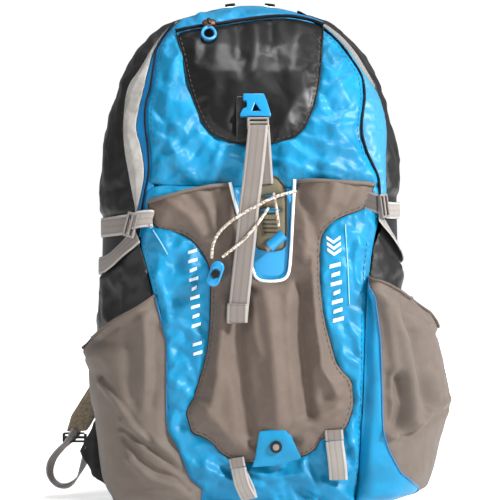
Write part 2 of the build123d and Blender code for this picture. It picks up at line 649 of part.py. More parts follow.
# ---------------------------------------------------------------- compression straps
with BuildPart() as skin_strap:
    loft(sections=body_faces(2.6, 238.0, 338.0), ruled=True)
    loft(sections=body_faces(0.9, 237.0, 339.0), ruled=True, mode=Mode.SUBTRACT)

with BuildPart() as compression_strap_left:
    add(skin_strap.part)
    with BuildSketch(Plane.XZ):
        Polygon((-112.5, 291), (-118, 309), (-170, 309), (-170, 289), (-149, 289), (-170, 273), (-170, 253), (-148, 258), align=None)
    extrude(amount=300, both=True, mode=Mode.INTERSECT)
    with BuildSketch(Plane.YZ):
        Polygon((-200, 200), (58, 200), (58, 400), (-200, 400), align=None)
    extrude(amount=300, both=True, mode=Mode.INTERSECT)
compression_strap_left.part.label = "compression_strap_left"
export_step(compression_strap_left.part, "parts/compression_strap_left.step")

with BuildPart() as compression_strap_right:
    add(skin_strap.part)
    with BuildSketch(Plane.XZ):
        Polygon((124.5, 331.5), (134, 331), (170, 329), (170, 309), (152, 309), (170, 295), (170, 270), (150, 276), (126, 306), (121.5, 311), align=None)
    extrude(amount=300, both=True, mode=Mode.INTERSECT)
    with BuildSketch(Plane.YZ):
        Polygon((-200, 200), (58, 200), (58, 400), (-200, 400), align=None)
    extrude(amount=300, both=True, mode=Mode.INTERSECT)
compression_strap_right.part.label = "compression_strap_right"
export_step(compression_strap_right.part, "parts/compression_strap_right.step")


def corner_frame(x, z):
    """Frame standing on the rounded front corner, local x along the surface, local y up."""
    hw, yf, yb, rf, rb = section(z)
    d = abs(x) - (hw - rf)
    a = math.asin(d / rf) * (1 if x > 0 else -1)
    return Plane(origin=(x, front_y(z, x), z), x_dir=(math.cos(a), math.sin(a), 0), z_dir=(math.sin(a), -math.cos(a), 0))


with BuildPart() as compression_buckle_left:
    with BuildSketch(corner_frame(-116, 300).offset(3.8)):
        RectangleRounded(15, 25, 2.5)
        with Locations((-3.2, 0), (3.2, 0)):
            Rectangle(3, 20.5, mode=Mode.SUBTRACT)
    extrude(amount=4.5)
compression_buckle_left.part.label = "compression_buckle_left"
export_step(compression_buckle_left.part, "parts/compression_buckle_left.step")

with BuildPart() as compression_buckle_right:
    with BuildSketch(corner_frame(131, 319).offset(3.8)):
        RectangleRounded(13, 25, 2.5)
        with Locations((-2.8, 0), (2.8, 0)):
            Rectangle(2.6, 20.5, mode=Mode.SUBTRACT)
    extrude(amount=4.5)
compression_buckle_right.part.label = "compression_buckle_right"
export_step(compression_buckle_right.part, "parts/compression_buckle_right.step")

# ---------------------------------------------------------------- tool loops
def loop_outline(top, bottom, half):
    mid = -103.5
    outer = [(mid - 1.8, top), (mid + 1.8, top), (mid + 1.9, top - 8), (mid + half, bottom + 11), (mid + half * 0.8, bottom + 3.5),
             (mid + half * 0.35, bottom), (mid - half * 0.35, bottom), (mid - half * 0.8, bottom + 3.5), (mid - half, bottom + 11), (mid - 1.9, top - 8)]
    inner = [(mid, top - 10), (mid + half - 1.9, bottom + 11.5), (mid + half * 0.6, bottom + 5), (mid, bottom + 1.7),
             (mid - half * 0.6, bottom + 5), (mid - half + 1.9, bottom + 11.5)]
    return outer, inner


with BuildPart() as tool_loop_left:
    with BuildSketch(Plane.YZ.offset(-20)):
        Polygon(*loop_outline(58.5, 27, 6.5)[0], align=None)
        Polygon(*loop_outline(58.5, 27, 6.5)[1], align=None, mode=Mode.SUBTRACT)
    extrude(amount=18)
tool_loop_left.part.label = "tool_loop_left"
export_step(tool_loop_left.part, "parts/tool_loop_left.step")

with BuildPart() as tool_loop_right:
    with BuildSketch(Plane.YZ.offset(74)):
        Polygon(*loop_outline(86, 46, 7.5)[0], align=None)
        Polygon(*loop_outline(86, 46, 7.5)[1], align=None, mode=Mode.SUBTRACT)
    extrude(amount=20)
tool_loop_right.part.label = "tool_loop_right"
export_step(tool_loop_right.part, "parts/tool_loop_right.step")

# ---------------------------------------------------------------- lid pocket with its curved zip
LID_POCKET = [(-77, 500), (-59, 505), (-32, 509), (-11.5, 513), (12.5, 517), (29, 518.5), (45, 518), (61.6, 514), (76, 508),
              (76, 497), (74.5, 485), (72, 454), (67.3, 429), (61.9, 412), (53.6, 395.5), (43.5, 387), (26.3, 382.7),
              (-4, 380), (-20.2, 383), (-38.5, 390.4), (-46.6, 400.6), (-55, 419), (-63.4, 445), (-69, 471), (-73, 487)]
LID_POCKET_IN = [(-74.2, 498.2), (-58.4, 502.6), (-31.7, 506.5), (-11, 510.5), (12.7, 514.5), (29, 516), (44.6, 515.5), (60.7, 511.6), (73.5, 506.3),
                 (73.5, 497), (72, 485.2), (69.5, 454.3), (64.9, 429.8), (59.6, 413.2), (51.8, 397.3), (42.4, 389.3), (25.9, 385.2),
                 (-3.7, 382.5), (-19.4, 385.4), (-36.9, 392.5), (-44.4, 402), (-52.7, 419.9), (-60.9, 445.6), (-66.6, 471.4), (-70.6, 486.6)]
with BuildPart() as lid_pocket:
    with BuildSketch(Plane.YZ):
        Polygon(*band(0.6, 8.0), align=None)
    extrude(amount=100, both=True)
    with BuildSketch(Plane.XZ):
        Polygon(*LID_POCKET, align=None)
    extrude(amount=300, both=True, mode=Mode.INTERSECT)
    with BuildPart(mode=Mode.PRIVATE) as lid_room:
        with BuildSketch(Plane.YZ):
            Polygon(*band(0.0, 6.2), align=None)
        extrude(amount=100, both=True)
        with BuildSketch(Plane.XZ):
            Polygon(*LID_POCKET_IN, align=None)
        extrude(amount=300, both=True, mode=Mode.INTERSECT)
    add(lid_room.part, mode=Mode.SUBTRACT)
lid_pocket.part.label = "lid_pocket"
export_step(lid_pocket.part, "parts/lid_pocket.step")

# frame lying in the sloping crown facet, local y up the slope
slope = math.hypot(42.0, 40.0)
facet_t = (0.0, 42.0 / slope, 40.0 / slope)
facet_n = (0.0, -40.0 / slope, 42.0 / slope)
zip_peak_z = 513.0
zip_plane = Plane(origin=(22.0, -37.0 + (zip_peak_z - 480.0) * 1.05, zip_peak_z), x_dir=(1, 0, 0), z_dir=facet_n)

with BuildPart() as lid_zip_track:
    with BuildSketch(zip_plane.offset(8.4)):
        with BuildLine():
            CenterArc((0, -lid_zip_radius), lid_zip_radius, 79, 29)
        trace(line_width=6)
    extrude(amount=1.4)
lid_zip_track.part.label = "lid_zip_track"
export_step(lid_zip_track.part, "parts/lid_zip_track.step")

slider_angle = math.radians(105.0)
slider_x = lid_zip_radius * math.cos(slider_angle)
slider_y = lid_zip_radius * math.sin(slider_angle) - lid_zip_radius
with BuildPart() as lid_zip_slider:
    with BuildSketch(zip_plane.offset(10.2)):
        with Locations(Location((slider_x, slider_y), 15)):
            RectangleRounded(14, 9, 2)
    extrude(amount=4.5)
lid_zip_slider.part.label = "lid_zip_slider"
export_step(lid_zip_slider.part, "parts/lid_zip_slider.step")

with BuildPart() as lid_zip_pull:
    with BuildSketch(zip_plane.offset(10.4)):
        with Locations((slider_x, slider_y - 20.5)):
            Ellipse(8.5, 12)
            Ellipse(5.2, 8.4, mode=Mode.SUBTRACT)
    extrude(amount=2.6)
lid_zip_pull.part.label = "lid_zip_pull"
export_step(lid_zip_pull.part, "parts/lid_zip_pull.step")

# ---------------------------------------------------------------- hook closure
with BuildPart() as hook_loop:
    with BuildSketch(Plane.YZ):
        Polygon(*band(8.5, 9.9), align=None)
    extrude(amount=60, both=True)
    with BuildSketch(Plane.XZ):
        Polygon((-14, 384), (-1, 384), (-1, 425), (-14, 425), align=None)
    extrude(amount=300, both=True, mode=Mode.INTERSECT)
hook_loop.part.label = "hook_loop"
export_step(hook_loop.part, "parts/hook_loop.step")

with BuildPart() as hook_buckle:
    with BuildSketch(Plane.YZ):
        Polygon(*band(11.2, 17.2), align=None)
    extrude(amount=60, both=True)
    with BuildSketch(Plane.XZ):
        Polygon((-7, 428), (14, 428), (17, 420), (21, 406), (21, 403.4), (-10, 403.4), (-10, 406), (-7, 412), (-3.4, 413), (-3.4, 420), (-7, 421), align=None)
        Polygon((5, 417), (2, 409), (11, 409), align=None, mode=Mode.SUBTRACT)
    extrude(amount=300, both=True, mode=Mode.INTERSECT)
hook_buckle.part.label = "hook_buckle"
export_step(hook_buckle.part, "parts/hook_buckle.step")

with BuildPart() as ladder_lock:
    with BuildSketch(Plane.YZ):
        Polygon(*band(11.2, 18.0), align=None)
    extrude(amount=60, both=True)
    with BuildSketch(Plane.XZ):
        Polygon((-3, 391.5), (19, 391.5), (19, 402.8), (-3, 402.8), align=None)
        with Locations((8, 394.8)):
            Rectangle(18, 2.4, mode=Mode.SUBTRACT)
        with Locations((8, 399.6)):
            Rectangle(18, 2.4, mode=Mode.SUBTRACT)
    extrude(amount=300, both=True, mode=Mode.INTERSECT)
ladder_lock.part.label = "ladder_lock"
export_step(ladder_lock.part, "parts/ladder_lock.step")

with BuildPart() as lash_strap:
    with BuildSketch(Plane.YZ):
        Polygon(*band(8.8, 10.2), align=None)
    extrude(amount=60, both=True)
    with BuildSketch(Plane.XZ):
        Polygon((1, 352), (21, 352), (21, 400), (1, 400), align=None)
    extrude(amount=300, both=True, mode=Mode.INTERSECT)
lash_strap.part.label = "lash_strap"
export_step(lash_strap.part, "parts/lash_strap.step")

# hanging end of the strap, doubled back at the bottom
TAIL_TOP = stand_y(398.0, 18.6) - 0.2
TAIL = [(TAIL_TOP, 398.0), (TAIL_TOP - 5.0, 388.0), (-112.5, 345.0), (-116.0, 318.0), (-116.0, 203.0)]
with BuildPart() as strap_tail:
    with BuildSketch(Plane.YZ):
        Polygon(*(TAIL + [(-121.0, 203.0), (-121.0, 219.0), (-117.6, 221.0), (-117.6, 318.0), (-114.1, 345.4), (TAIL_TOP - 6.6, 388.6), (TAIL_TOP - 1.7, 398.4)]), align=None)
    extrude(amount=60, both=True)
    with BuildSketch(Plane.XZ):
        Polygon((-2, 399), (18, 399), (14.5, 361), (11, 335), (6, 285), (0, 235), (-3, 219), (-3, 203), (-23, 203), (-23, 219),
                (-20, 235), (-14, 285), (-9, 335), (-5.5, 361), align=None)
    extrude(amount=300, both=True, mode=Mode.INTERSECT)
strap_tail.part.label = "strap_tail"
export_step(strap_tail.part, "parts/strap_tail.step")

# ---------------------------------------------------------------- shock cord and locks
def bend_radii(points):
    out = []
    for a, b, c in zip(points, points[1:], points[2:]):
        u, v = Vector(*b) - Vector(*a), Vector(*c) - Vector(*b)
        out.append(0.45 * min(u.length, v.length) / math.tan(math.radians(u.get_angle(v)) / 2))
    print("cord bends", [round(r, 1) for r in out])
    return out


CORD_A = [(46, -110.0, 333.5), (25, -112.5, 328.5), (8, -120.4, 319), (-13, -120.6, 308), (-30, -119.4, 294), (-38, -119.2, 279), (-37.6, -119.5, 267.5)]
CORD_B = [(23.5, -99.6, 331.5), (25.5, -104.5, 322), (27.2, -106.5, 310), (28.5, -107.5, 298.5)]
CORD_C = [(18.0, -100.0, 316.5), (16.5, -113, 314), (10, -120.4, 304), (-3, -120.8, 288), (-16, -120.2, 276.5), (-27.5, -119.8, 268.5)]
with BuildPart() as shock_cord_a:
    with BuildLine() as run_a:
        FilletPolyline(*CORD_A, radius=bend_radii(CORD_A))
    with BuildSketch(Plane(origin=run_a.line @ 0, z_dir=run_a.line % 0)):
        Circle(cord_diameter / 2)
    sweep(path=run_a.line)
shock_cord_a.part.label = "shock_cord_a"
export_step(shock_cord_a.part, "parts/shock_cord_a.step")

with BuildPart() as shock_cord_b:
    with BuildLine() as run_b:
        FilletPolyline(*CORD_B, radius=bend_radii(CORD_B))
    with BuildSketch(Plane(origin=run_b.line @ 0, z_dir=run_b.line % 0)):
        Circle(cord_diameter / 2)
    sweep(path=run_b.line)
shock_cord_b.part.label = "shock_cord_b"
export_step(shock_cord_b.part, "parts/shock_cord_b.step")

with BuildPart() as shock_cord_c:
    with BuildLine() as run_c:
        FilletPolyline(*CORD_C, radius=bend_radii(CORD_C))
    with BuildSketch(Plane(origin=run_c.line @ 0, z_dir=run_c.line % 0)):
        Circle(cord_diameter / 2)
    sweep(path=run_c.line)
shock_cord_c.part.label = "shock_cord_c"
export_step(shock_cord_c.part, "parts/shock_cord_c.step")

with BuildPart() as cord_lock_left:
    with BuildSketch(Plane.XZ.offset(113.8)):
        with Locations(Location((-34, 251.5), 70)):
            SlotOverall(26, 13)
    extrude(amount=11)
    with BuildSketch(Plane.XZ.offset(117.0)):
        with Locations((-34, 251.5)):
            Circle(4.2)
    extrude(amount=10, mode=Mode.SUBTRACT)
cord_lock_left.part.label = "cord_lock_left"
export_step(cord_lock_left.part, "parts/cord_lock_left.step")

with BuildPart() as lock_button_left:
    with BuildSketch(Plane.XZ.offset(121.2)):
        with Locations((-34, 251.5)):
            Circle(3.7)
    extrude(amount=5)
lock_button_left.part.label = "lock_button_left"
export_step(lock_button_left.part, "parts/lock_button_left.step")

barrel_dir = (0.76, 0.0, 0.65)
with BuildPart() as cord_lock_right:
    with BuildSketch(Plane(origin=(19.0, -108.8, 278.2), x_dir=(0, 1, 0), z_dir=barrel_dir)):
        Circle(5.5)
    extrude(amount=19)
    with BuildSketch(Plane(origin=(19.0, -108.8, 278.2), x_dir=(0, 1, 0), z_dir=barrel_dir).offset(-1)):
        Circle(4.1)
    extrude(amount=12, mode=Mode.SUBTRACT)
cord_lock_right.part.label = "cord_lock_right"
export_step(cord_lock_right.part, "parts/cord_lock_right.step")

with BuildPart() as lock_button_right:
    with BuildSketch(Plane(origin=(19.0, -108.8, 278.2), x_dir=(0, 1, 0), z_dir=barrel_dir).offset(-4)):
        Circle(3.6)
    extrude(amount=10.5)
lock_button_right.part.label = "lock_button_right"
export_step(lock_button_right.part, "parts/lock_button_right.step")
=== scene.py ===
import math
import random
import bpy
import bmesh
import numpy as np
from mathutils import Vector, Matrix, noise, geometry
from mathutils.bvhtree import BVHTree


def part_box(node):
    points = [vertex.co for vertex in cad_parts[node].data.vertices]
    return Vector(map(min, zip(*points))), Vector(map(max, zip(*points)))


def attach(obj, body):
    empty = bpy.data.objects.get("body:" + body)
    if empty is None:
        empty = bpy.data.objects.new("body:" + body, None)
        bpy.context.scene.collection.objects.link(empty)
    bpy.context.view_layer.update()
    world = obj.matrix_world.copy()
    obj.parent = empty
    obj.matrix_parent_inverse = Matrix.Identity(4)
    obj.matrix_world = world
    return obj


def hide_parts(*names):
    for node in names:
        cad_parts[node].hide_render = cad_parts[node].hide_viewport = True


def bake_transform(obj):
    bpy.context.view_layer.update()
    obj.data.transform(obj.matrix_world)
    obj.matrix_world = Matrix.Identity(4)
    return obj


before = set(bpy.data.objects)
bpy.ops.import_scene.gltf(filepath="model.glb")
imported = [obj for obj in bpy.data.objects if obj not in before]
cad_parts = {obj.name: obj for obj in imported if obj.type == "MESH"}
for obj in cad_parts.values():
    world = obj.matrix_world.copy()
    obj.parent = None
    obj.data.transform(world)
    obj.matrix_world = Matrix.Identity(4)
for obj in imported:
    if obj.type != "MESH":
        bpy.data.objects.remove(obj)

random.seed(7)
np.random.seed(7)
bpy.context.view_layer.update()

# ------------------------------------------------------------------ bag surface (mm)
SECTIONS = np.array([
    (0, 130, -74, 74, 50, 22), (12, 140, -85, 84, 60, 25), (40, 147, -92, 88, 66, 26), (90, 151.5, -97, 88, 69, 26), (140, 155, -100, 88, 70, 26),
    (250, 155, -98, 88, 70, 26), (331, 154, -91, 88, 70, 26), (365, 152, -86, 88, 70, 26), (396, 148, -79, 88, 68, 26),
    (429, 140, -68, 88, 64, 26), (453, 132, -56, 88, 58, 26), (480, 120, -37, 88, 50, 25), (497, 107, -19.15, 87, 42, 24),
    (512, 93, -3.4, 85, 36, 22), (520, 79, 5, 83, 30, 20), (528.3, 60, 18, 79, 24, 16), (534.3, 40, 30, 74, 16, 13), (538, 18, 42, 66, 8, 7)], float)


def section(z):
    return [float(np.interp(z, SECTIONS[:, 0], SECTIONS[:, k])) for k in range(1, 6)]


def x_to_s(x, z):
    hw, yf, yb, rf, rb = section(z)
    a = abs(x) - (hw - rf)
    if a <= 0:
        return x
    return math.copysign(hw - rf + rf * math.asin(min(a / rf, 1.0)), x)


def front_at(s, z, d=0.0):
    """Point on the front and sides, s along the girth from the front centre, d outward."""
    hw, yf, yb, rf, rb = section(z)
    sg = 1.0 if s >= 0 else -1.0
    a = abs(s)
    flat = hw - rf
    z2 = z + 1.5
    yf2 = float(np.interp(z2, SECTIONS[:, 0], SECTIONS[:, 2])); hw2 = float(np.interp(z2, SECTIONS[:, 0], SECTIONS[:, 1]))
    if a <= flat:
        p = Vector((sg * a, yf, z)); n = Vector((0, -1, (yf2 - yf) / 1.5))
    elif a <= flat + rf * math.pi / 2:
        t = (a - flat) / rf
        p = Vector((sg * (flat + rf * math.sin(t)), yf + rf - rf * math.cos(t), z))
        n = Vector((sg * math.sin(t), -math.cos(t), math.cos(t) * (yf2 - yf) / 1.5 - math.sin(t) * (hw2 - hw) / 1.5))
    else:
        r = a - flat - rf * math.pi / 2
        side = (yb - rb) - (yf + rf)
        if r <= side:
            p = Vector((sg * hw, yf + rf + r, z)); n = Vector((sg, 0, -(hw2 - hw) / 1.5))
        else:
            t = min((r - side) / rb, math.pi / 2)
            p = Vector((sg * (hw - rb + rb * math.cos(t)), yb - rb + rb * math.sin(t), z)); n = Vector((sg * math.cos(t), math.sin(t), 0))
    n.normalize()
    return p + n * d, n


def back_at(t, z, d=0.0):
    hw, yf, yb, rf, rb = section(z)
    sg = 1.0 if t >= 0 else -1.0
    a = abs(t)
    if a <= hw - rb:
        return Vector((t, yb + d, z)), Vector((0, 1, 0))
    u = min((a - (hw - rb)) / rb, math.pi / 2)
    n = Vector((sg * math.sin(u), math.cos(u), 0))
    return Vector((sg * (hw - rb), yb - rb, z)) + n * (rb + d), n


def side_limit(z, y=60.0):
    hw, yf, yb, rf, rb = section(z)
    y = min(y, yb - 2)
    r = (yb - rb) - (yf + rf)
    base = hw - rf + rf * math.pi / 2
    if y <= yb - rb:
        return base + max(y - (yf + rf), 0)
    return base + r + rb * math.asin(min((y - (yb - rb)) / rb, 1))


# ------------------------------------------------------------------ materials
MATS = {}


def material(name, color, rough=0.6, sheen=0.25, weave=0.0, weave_scale=900.0, mottled=0.12, metallic=0.0, coat=0.0, spec=0.4, dirt=26.0, wrinkle=0.0, alt=None):
    m = bpy.data.materials.new(name)
    m.use_nodes = True
    nt = m.node_tree
    b = nt.nodes["Principled BSDF"]
    b.inputs["Roughness"].default_value = rough
    b.inputs["Sheen Weight"].default_value = sheen
    b.inputs["Sheen Roughness"].default_value = 0.45
    b.inputs["Metallic"].default_value = metallic
    b.inputs["Coat Weight"].default_value = coat
    b.inputs["Coat Roughness"].default_value = 0.18
    b.inputs["Specular IOR Level"].default_value = spec
    tc = nt.nodes.new("ShaderNodeTexCoord")
    nz = nt.nodes.new("ShaderNodeTexNoise")
    nz.inputs["Scale"].default_value = dirt
    nz.inputs["Detail"].default_value = 5
    nt.links.new(tc.outputs["Object"], nz.inputs["Vector"])
    ramp = nt.nodes.new("ShaderNodeValToRGB")
    c = Vector(color)
    dark, light = c * (1 - mottled), c * (1 + mottled)
    if alt is not None:
        dark, light = Vector(alt), c
    ramp.color_ramp.elements[0].position = 0.36
    ramp.color_ramp.elements[1].position = 0.64
    ramp.color_ramp.elements[0].color = (*dark, 1)
    ramp.color_ramp.elements[1].color = (*light, 1)
    nt.links.new(nz.outputs["Fac"], ramp.inputs["Fac"])
    nt.links.new(ramp.outputs["Color"], b.inputs["Base Color"])
    last = None
    if weave:
        w = nt.nodes.new("ShaderNodeTexNoise")
        w.inputs["Scale"].default_value = weave_scale
        w.inputs["Detail"].default_value = 2
        nt.links.new(tc.outputs["Object"], w.inputs["Vector"])
        bp = nt.nodes.new("ShaderNodeBump")
        bp.inputs["Strength"].default_value = weave
        bp.inputs["Distance"].default_value = 0.0006
        nt.links.new(w.outputs["Fac"], bp.inputs["Height"])
        last = bp
    if wrinkle:
        w = nt.nodes.new("ShaderNodeTexNoise")
        w.noise_type = "RIDGED_MULTIFRACTAL"
        w.inputs["Scale"].default_value = 12.5
        w.inputs["Detail"].default_value = 1.8
        w.inputs["Distortion"].default_value = 0.8
        nt.links.new(tc.outputs["Object"], w.inputs["Vector"])
        bp = nt.nodes.new("ShaderNodeBump")
        bp.inputs["Strength"].default_value = wrinkle
        bp.inputs["Distance"].default_value = 0.0028
        nt.links.new(w.outputs["Fac"], bp.inputs["Height"])
        if last:
            nt.links.new(last.outputs["Normal"], bp.inputs["Normal"])
        last = bp
    if last:
        nt.links.new(last.outputs["Normal"], b.inputs["Normal"])
    MATS[name] = m
    return m


def webbing_material(name, color, edge, ribs=420.0):
    m = material(name, color, rough=0.7, sheen=0.2, mottled=0.06, dirt=60)
    nt = m.node_tree
    b = nt.nodes["Principled BSDF"]
    uv = nt.nodes.new("ShaderNodeUVMap")
    sep = nt.nodes.new("ShaderNodeSeparateXYZ")
    nt.links.new(uv.outputs["UV"], sep.inputs["Vector"])
    ramp = nt.nodes.new("ShaderNodeValToRGB")
    cr = ramp.color_ramp
    cr.elements[0].position = 0.0; cr.elements[0].color = (*edge, 1)
    cr.elements[1].position = 1.0; cr.elements[1].color = (*edge, 1)
    for p, k in ((0.10, edge), (0.16, [v * 0.72 for v in color]), (0.22, color), (0.40, [v * 1.08 for v in color]), (0.5, [v * 0.86 for v in color]), (0.6, [v * 1.08 for v in color]), (0.78, color), (0.84, [v * 0.72 for v in color]), (0.90, edge)):
        e = cr.elements.new(p); e.color = (*k, 1)
    nt.links.new(sep.outputs["X"], ramp.inputs["Fac"])
    wv = nt.nodes.new("ShaderNodeTexWave")
    wv.bands_direction = "Y"
    wv.inputs["Scale"].default_value = 62.0
    wv.inputs["Distortion"].default_value = 0.6
    nt.links.new(uv.outputs["UV"], wv.inputs["Vector"])
    mix = nt.nodes.new("ShaderNodeMix"); mix.data_type = "RGBA"; mix.blend_type = "MULTIPLY"
    mix.inputs["Factor"].default_value = 0.28
    nt.links.new(ramp.outputs["Color"], mix.inputs[6])
    nt.links.new(wv.outputs["Color"], mix.inputs[7])
    nt.links.new(mix.outputs[2], b.inputs["Base Color"])
    bp = nt.nodes.new("ShaderNodeBump")
    bp.inputs["Strength"].default_value = 0.5
    bp.inputs["Distance"].default_value = 0.0006
    nt.links.new(wv.outputs["Fac"], bp.inputs["Height"])
    nt.links.new(bp.outputs["Normal"], b.inputs["Normal"])
    return m


def lin(h):
    out = []
    for i in (0, 2, 4):
        v = int(h[i:i + 2], 16) / 255
        out.append(v / 12.92 if v <= 0.04045 else ((v + 0.055) / 1.055) ** 2.4)
    return out


def alb(h, k=0.72):
    return [v * k for v in lin(h)]


BLUE = material("blue_fabric", alb("1192C4", 0.66), rough=0.43, sheen=0.0, weave=0.2, mottled=0.15, dirt=30, wrinkle=0.8, spec=0.27)
# lighter blue for the notch panel in the pocket: partly the panel's own smoother light-blue fabric, partly painted
# light that brightens it where the pocket edges shade it
NOTCH_BLUE_PAINTED_LIGHT = material("notch_blue_painted_light", alb("3BA6E2", 0.66), rough=0.45, sheen=0.0, weave=0.1, mottled=0.05, spec=0.3)
BLUE_LIGHT = material("blue_light", alb("4AB4E4", 0.46), rough=0.42, sheen=0.0, weave=0.2, mottled=0.05, wrinkle=0.45, spec=0.30)
TAUPE = material("taupe_stretch", alb("87776C", 0.50), rough=0.62, sheen=0.05, weave=0.5, weave_scale=700, mottled=0.05, dirt=90, spec=0.2)
TAUPE_SIDE = material("taupe_side", alb("877A70", 0.50), rough=0.66, sheen=0.05, weave=0.5, weave_scale=700, mottled=0.05, dirt=90, spec=0.2)
TAUPE_DARK = material("taupe_hem", alb("6A5D55", 0.70), rough=0.75, sheen=0.1, weave=0.4, weave_scale=700, mottled=0.05, spec=0.15)
LID = material("lid_coated", alb("141312", 0.45), rough=0.42, sheen=0.0, weave=0.05, mottled=0.15, spec=0.34, wrinkle=0.0)
SILVER = material("silver_fabric", alb("C8C4BE", 0.50), rough=0.42, sheen=0.1, weave=0.3, mottled=0.2, dirt=30, wrinkle=0.5, spec=0.3)
GREY_EDGE = material("grey_edge", alb("8C8681"), rough=0.6, weave=0.3, spec=0.2)
BLACK = material("black_fabric", alb("232323", 0.6), rough=0.46, weave=0.3, mottled=0.15, sheen=0.0, spec=0.26, wrinkle=0.7)
MESH = material("black_mesh", alb("1C1C1D", 0.7), rough=0.8, weave=1.0, weave_scale=420, mottled=0.45, dirt=420, sheen=0.05, spec=0.12)
LINER = material("liner", alb("3A3D40"), rough=0.8, weave=0.3, spec=0.15)
PIPING = material("piping", alb("EEF1F3", 0.85), rough=0.45, mottled=0.03, sheen=0.05)
EDGEBLUE = material("edge_blue", alb("8CD0F2", 0.8), rough=0.45, mottled=0.03, sheen=0.05)
OLIVE = material("olive_patch", alb("7A725D"), rough=0.6, sheen=0.05, weave=0.4, mottled=0.08, spec=0.2)
OLIVE_DK = material("olive_dark", alb("4A4538"), rough=0.6, sheen=0.0, spec=0.2)
PBLUE = material("blue_plastic", alb("1E9AD8", 0.66), rough=0.3, sheen=0.0, mottled=0.02, coat=0.2)
PGREY = material("grey_plastic", alb("8E8782"), rough=0.4, sheen=0.0, mottled=0.03, coat=0.1)
PBLACK = material("black_plastic", alb("141414", 0.6), rough=0.35, sheen=0.0, mottled=0.05, coat=0.05, spec=0.25)
BRONZE = material("bronze", lin("5A3B28"), rough=0.35, metallic=0.8, sheen=0.0)
ZIP = material("zip_dark", alb("101216", 0.6), rough=0.5, sheen=0.0, weave=0.4, spec=0.15)
ZIPBLUE = material("zip_blue", alb("1684C6", 0.75), rough=0.5, sheen=0.0, weave=0.4, spec=0.2)
PRINT = material("print_white", alb("EAF6FC", 0.85), rough=0.45, sheen=0.0, mottled=0.03)
LIDPRINT = material("lid_print", alb("1F5E86", 0.7), rough=0.45, sheen=0.0, mottled=0.03, spec=0.2)
STRAPMESH = material("strap_mesh", alb("9A8B77", 0.6), rough=0.85, weave=0.9, weave_scale=380, mottled=0.3, dirt=420, sheen=0.1, spec=0.15)
PAD = material("pad_mesh", alb("2B2C2E"), rough=0.9, weave=1.0, weave_scale=360, mottled=0.35, dirt=380, sheen=0.1, spec=0.12)
CORD = material("cord_speckle", alb("EDE6DA", 0.8), rough=0.6, mottled=0.0, dirt=520, alt=alb("7E6650"), sheen=0.05)
WEB = webbing_material("webbing_grey", alb("9C918A", 0.64), alb("C9C1BA", 0.64))
WEB_LIGHT = webbing_material("webbing_light", alb("B4ABA4", 0.66), alb("D8D2CC", 0.66))
WEB_BLACK = webbing_material("webbing_black", alb("1A1A1B"), alb("29292A"))
WEB_DARK = webbing_material("webbing_dark", alb("5A5350"), alb("847C78"))
STITCH = material("stitch_blue", alb("0C5A8A", 0.6), rough=0.7, mottled=0.0)
STITCHG = material("stitch_grey", alb("4A4038", 0.6), rough=0.7, mottled=0.0)
SEAMBLUE = material("seam_blue", alb("0F74AE", 0.66), rough=0.5, mottled=0.03)
SHEETM = material("sheet_white", alb("D8D8D4"), rough=0.5, sheen=0)

coll = bpy.context.scene.collection


def new_obj(name, verts, faces, mat, body, smooth=True, scale=0.001, uvs=None):
    me = bpy.data.meshes.new(name)
    me.from_pydata([tuple(Vector(v) * scale) for v in verts], [], faces)
    me.materials.append(mat)
    if smooth:
        me.polygons.foreach_set("use_smooth", [True] * len(me.polygons))
    if uvs is not None:
        layer = me.uv_layers.new(name="UVMap")
        for lp in me.loops:
            layer.data[lp.index].uv = uvs[lp.vertex_index]
    me.validate()
    ob = bpy.data.objects.new(name, me)
    coll.objects.link(ob)
    if body:
        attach(ob, body)
    return ob


def apply_all(ob):
    dg = bpy.context.evaluated_depsgraph_get()
    me = bpy.data.meshes.new_from_object(ob.evaluated_get(dg), preserve_all_data_layers=True, depsgraph=dg)
    ob.modifiers.clear()
    ob.data = me
    return ob


def subsurf(ob, n=1):
    m = ob.modifiers.new("sub", "SUBSURF"); m.levels = n; m.render_levels = n
    return ob


def thick(ob, t=1.2, offset=-1):
    m = ob.modifiers.new("thick", "SOLIDIFY"); m.thickness = t * 0.001; m.offset = offset
    return ob


def resample(points, step, closed=True):
    pts = [Vector(p) for p in points]
    if closed:
        pts = pts + [pts[0]]
    out = []
    for a, b in zip(pts, pts[1:]):
        n = max(1, int(round((b - a).length / step)))
        for i in range(n):
            out.append(a.lerp(b, i / n))
    if not closed:
        out.append(pts[-1])
    return out


def rounded(points, rounds=2, closed=True):
    """Corner cutting, so outlines run as soft curves."""
    pts = [Vector(p) for p in points]
    for _ in range(rounds):
        out = []
        n = len(pts)
        rng = range(n) if closed else range(n - 1)
        if not closed:
            out.append(pts[0])
        for i in rng:
            a, b = pts[i], pts[(i + 1) % n]
            out += [a.lerp(b, 0.25), a.lerp(b, 0.75)]
        if not closed:
            out.append(pts[-1])
        pts = out
    return pts


def dist_many(P, A, B):
    D = B - A
    L = np.maximum((D ** 2).sum(1), 1e-9)
    out = np.empty(len(P))
    for i in range(0, len(P), 1200):
        w = P[i:i + 1200, None, :] - A[None]
        t = np.clip((w * D[None]).sum(2) / L[None], 0, 1)
        out[i:i + 1200] = np.sqrt(((w - D[None] * t[:, :, None]) ** 2).sum(2)).min(1)
    return out


def inside_many(P, A, B):
    out = np.zeros(len(P), bool)
    dz = B[:, 1] - A[:, 1]
    dz = np.where(np.abs(dz) < 1e-12, 1e-12, dz)
    for i in range(0, len(P), 1200):
        x = P[i:i + 1200, 0][:, None]; z = P[i:i + 1200, 1][:, None]
        c = (A[None, :, 1] > z) != (B[None, :, 1] > z)
        xx = A[None, :, 0] + (z - A[None, :, 1]) / dz[None] * (B[:, 0] - A[:, 0])[None]
        out[i:i + 1200] = (c & (xx > x)).sum(1) % 2 == 1
    return out


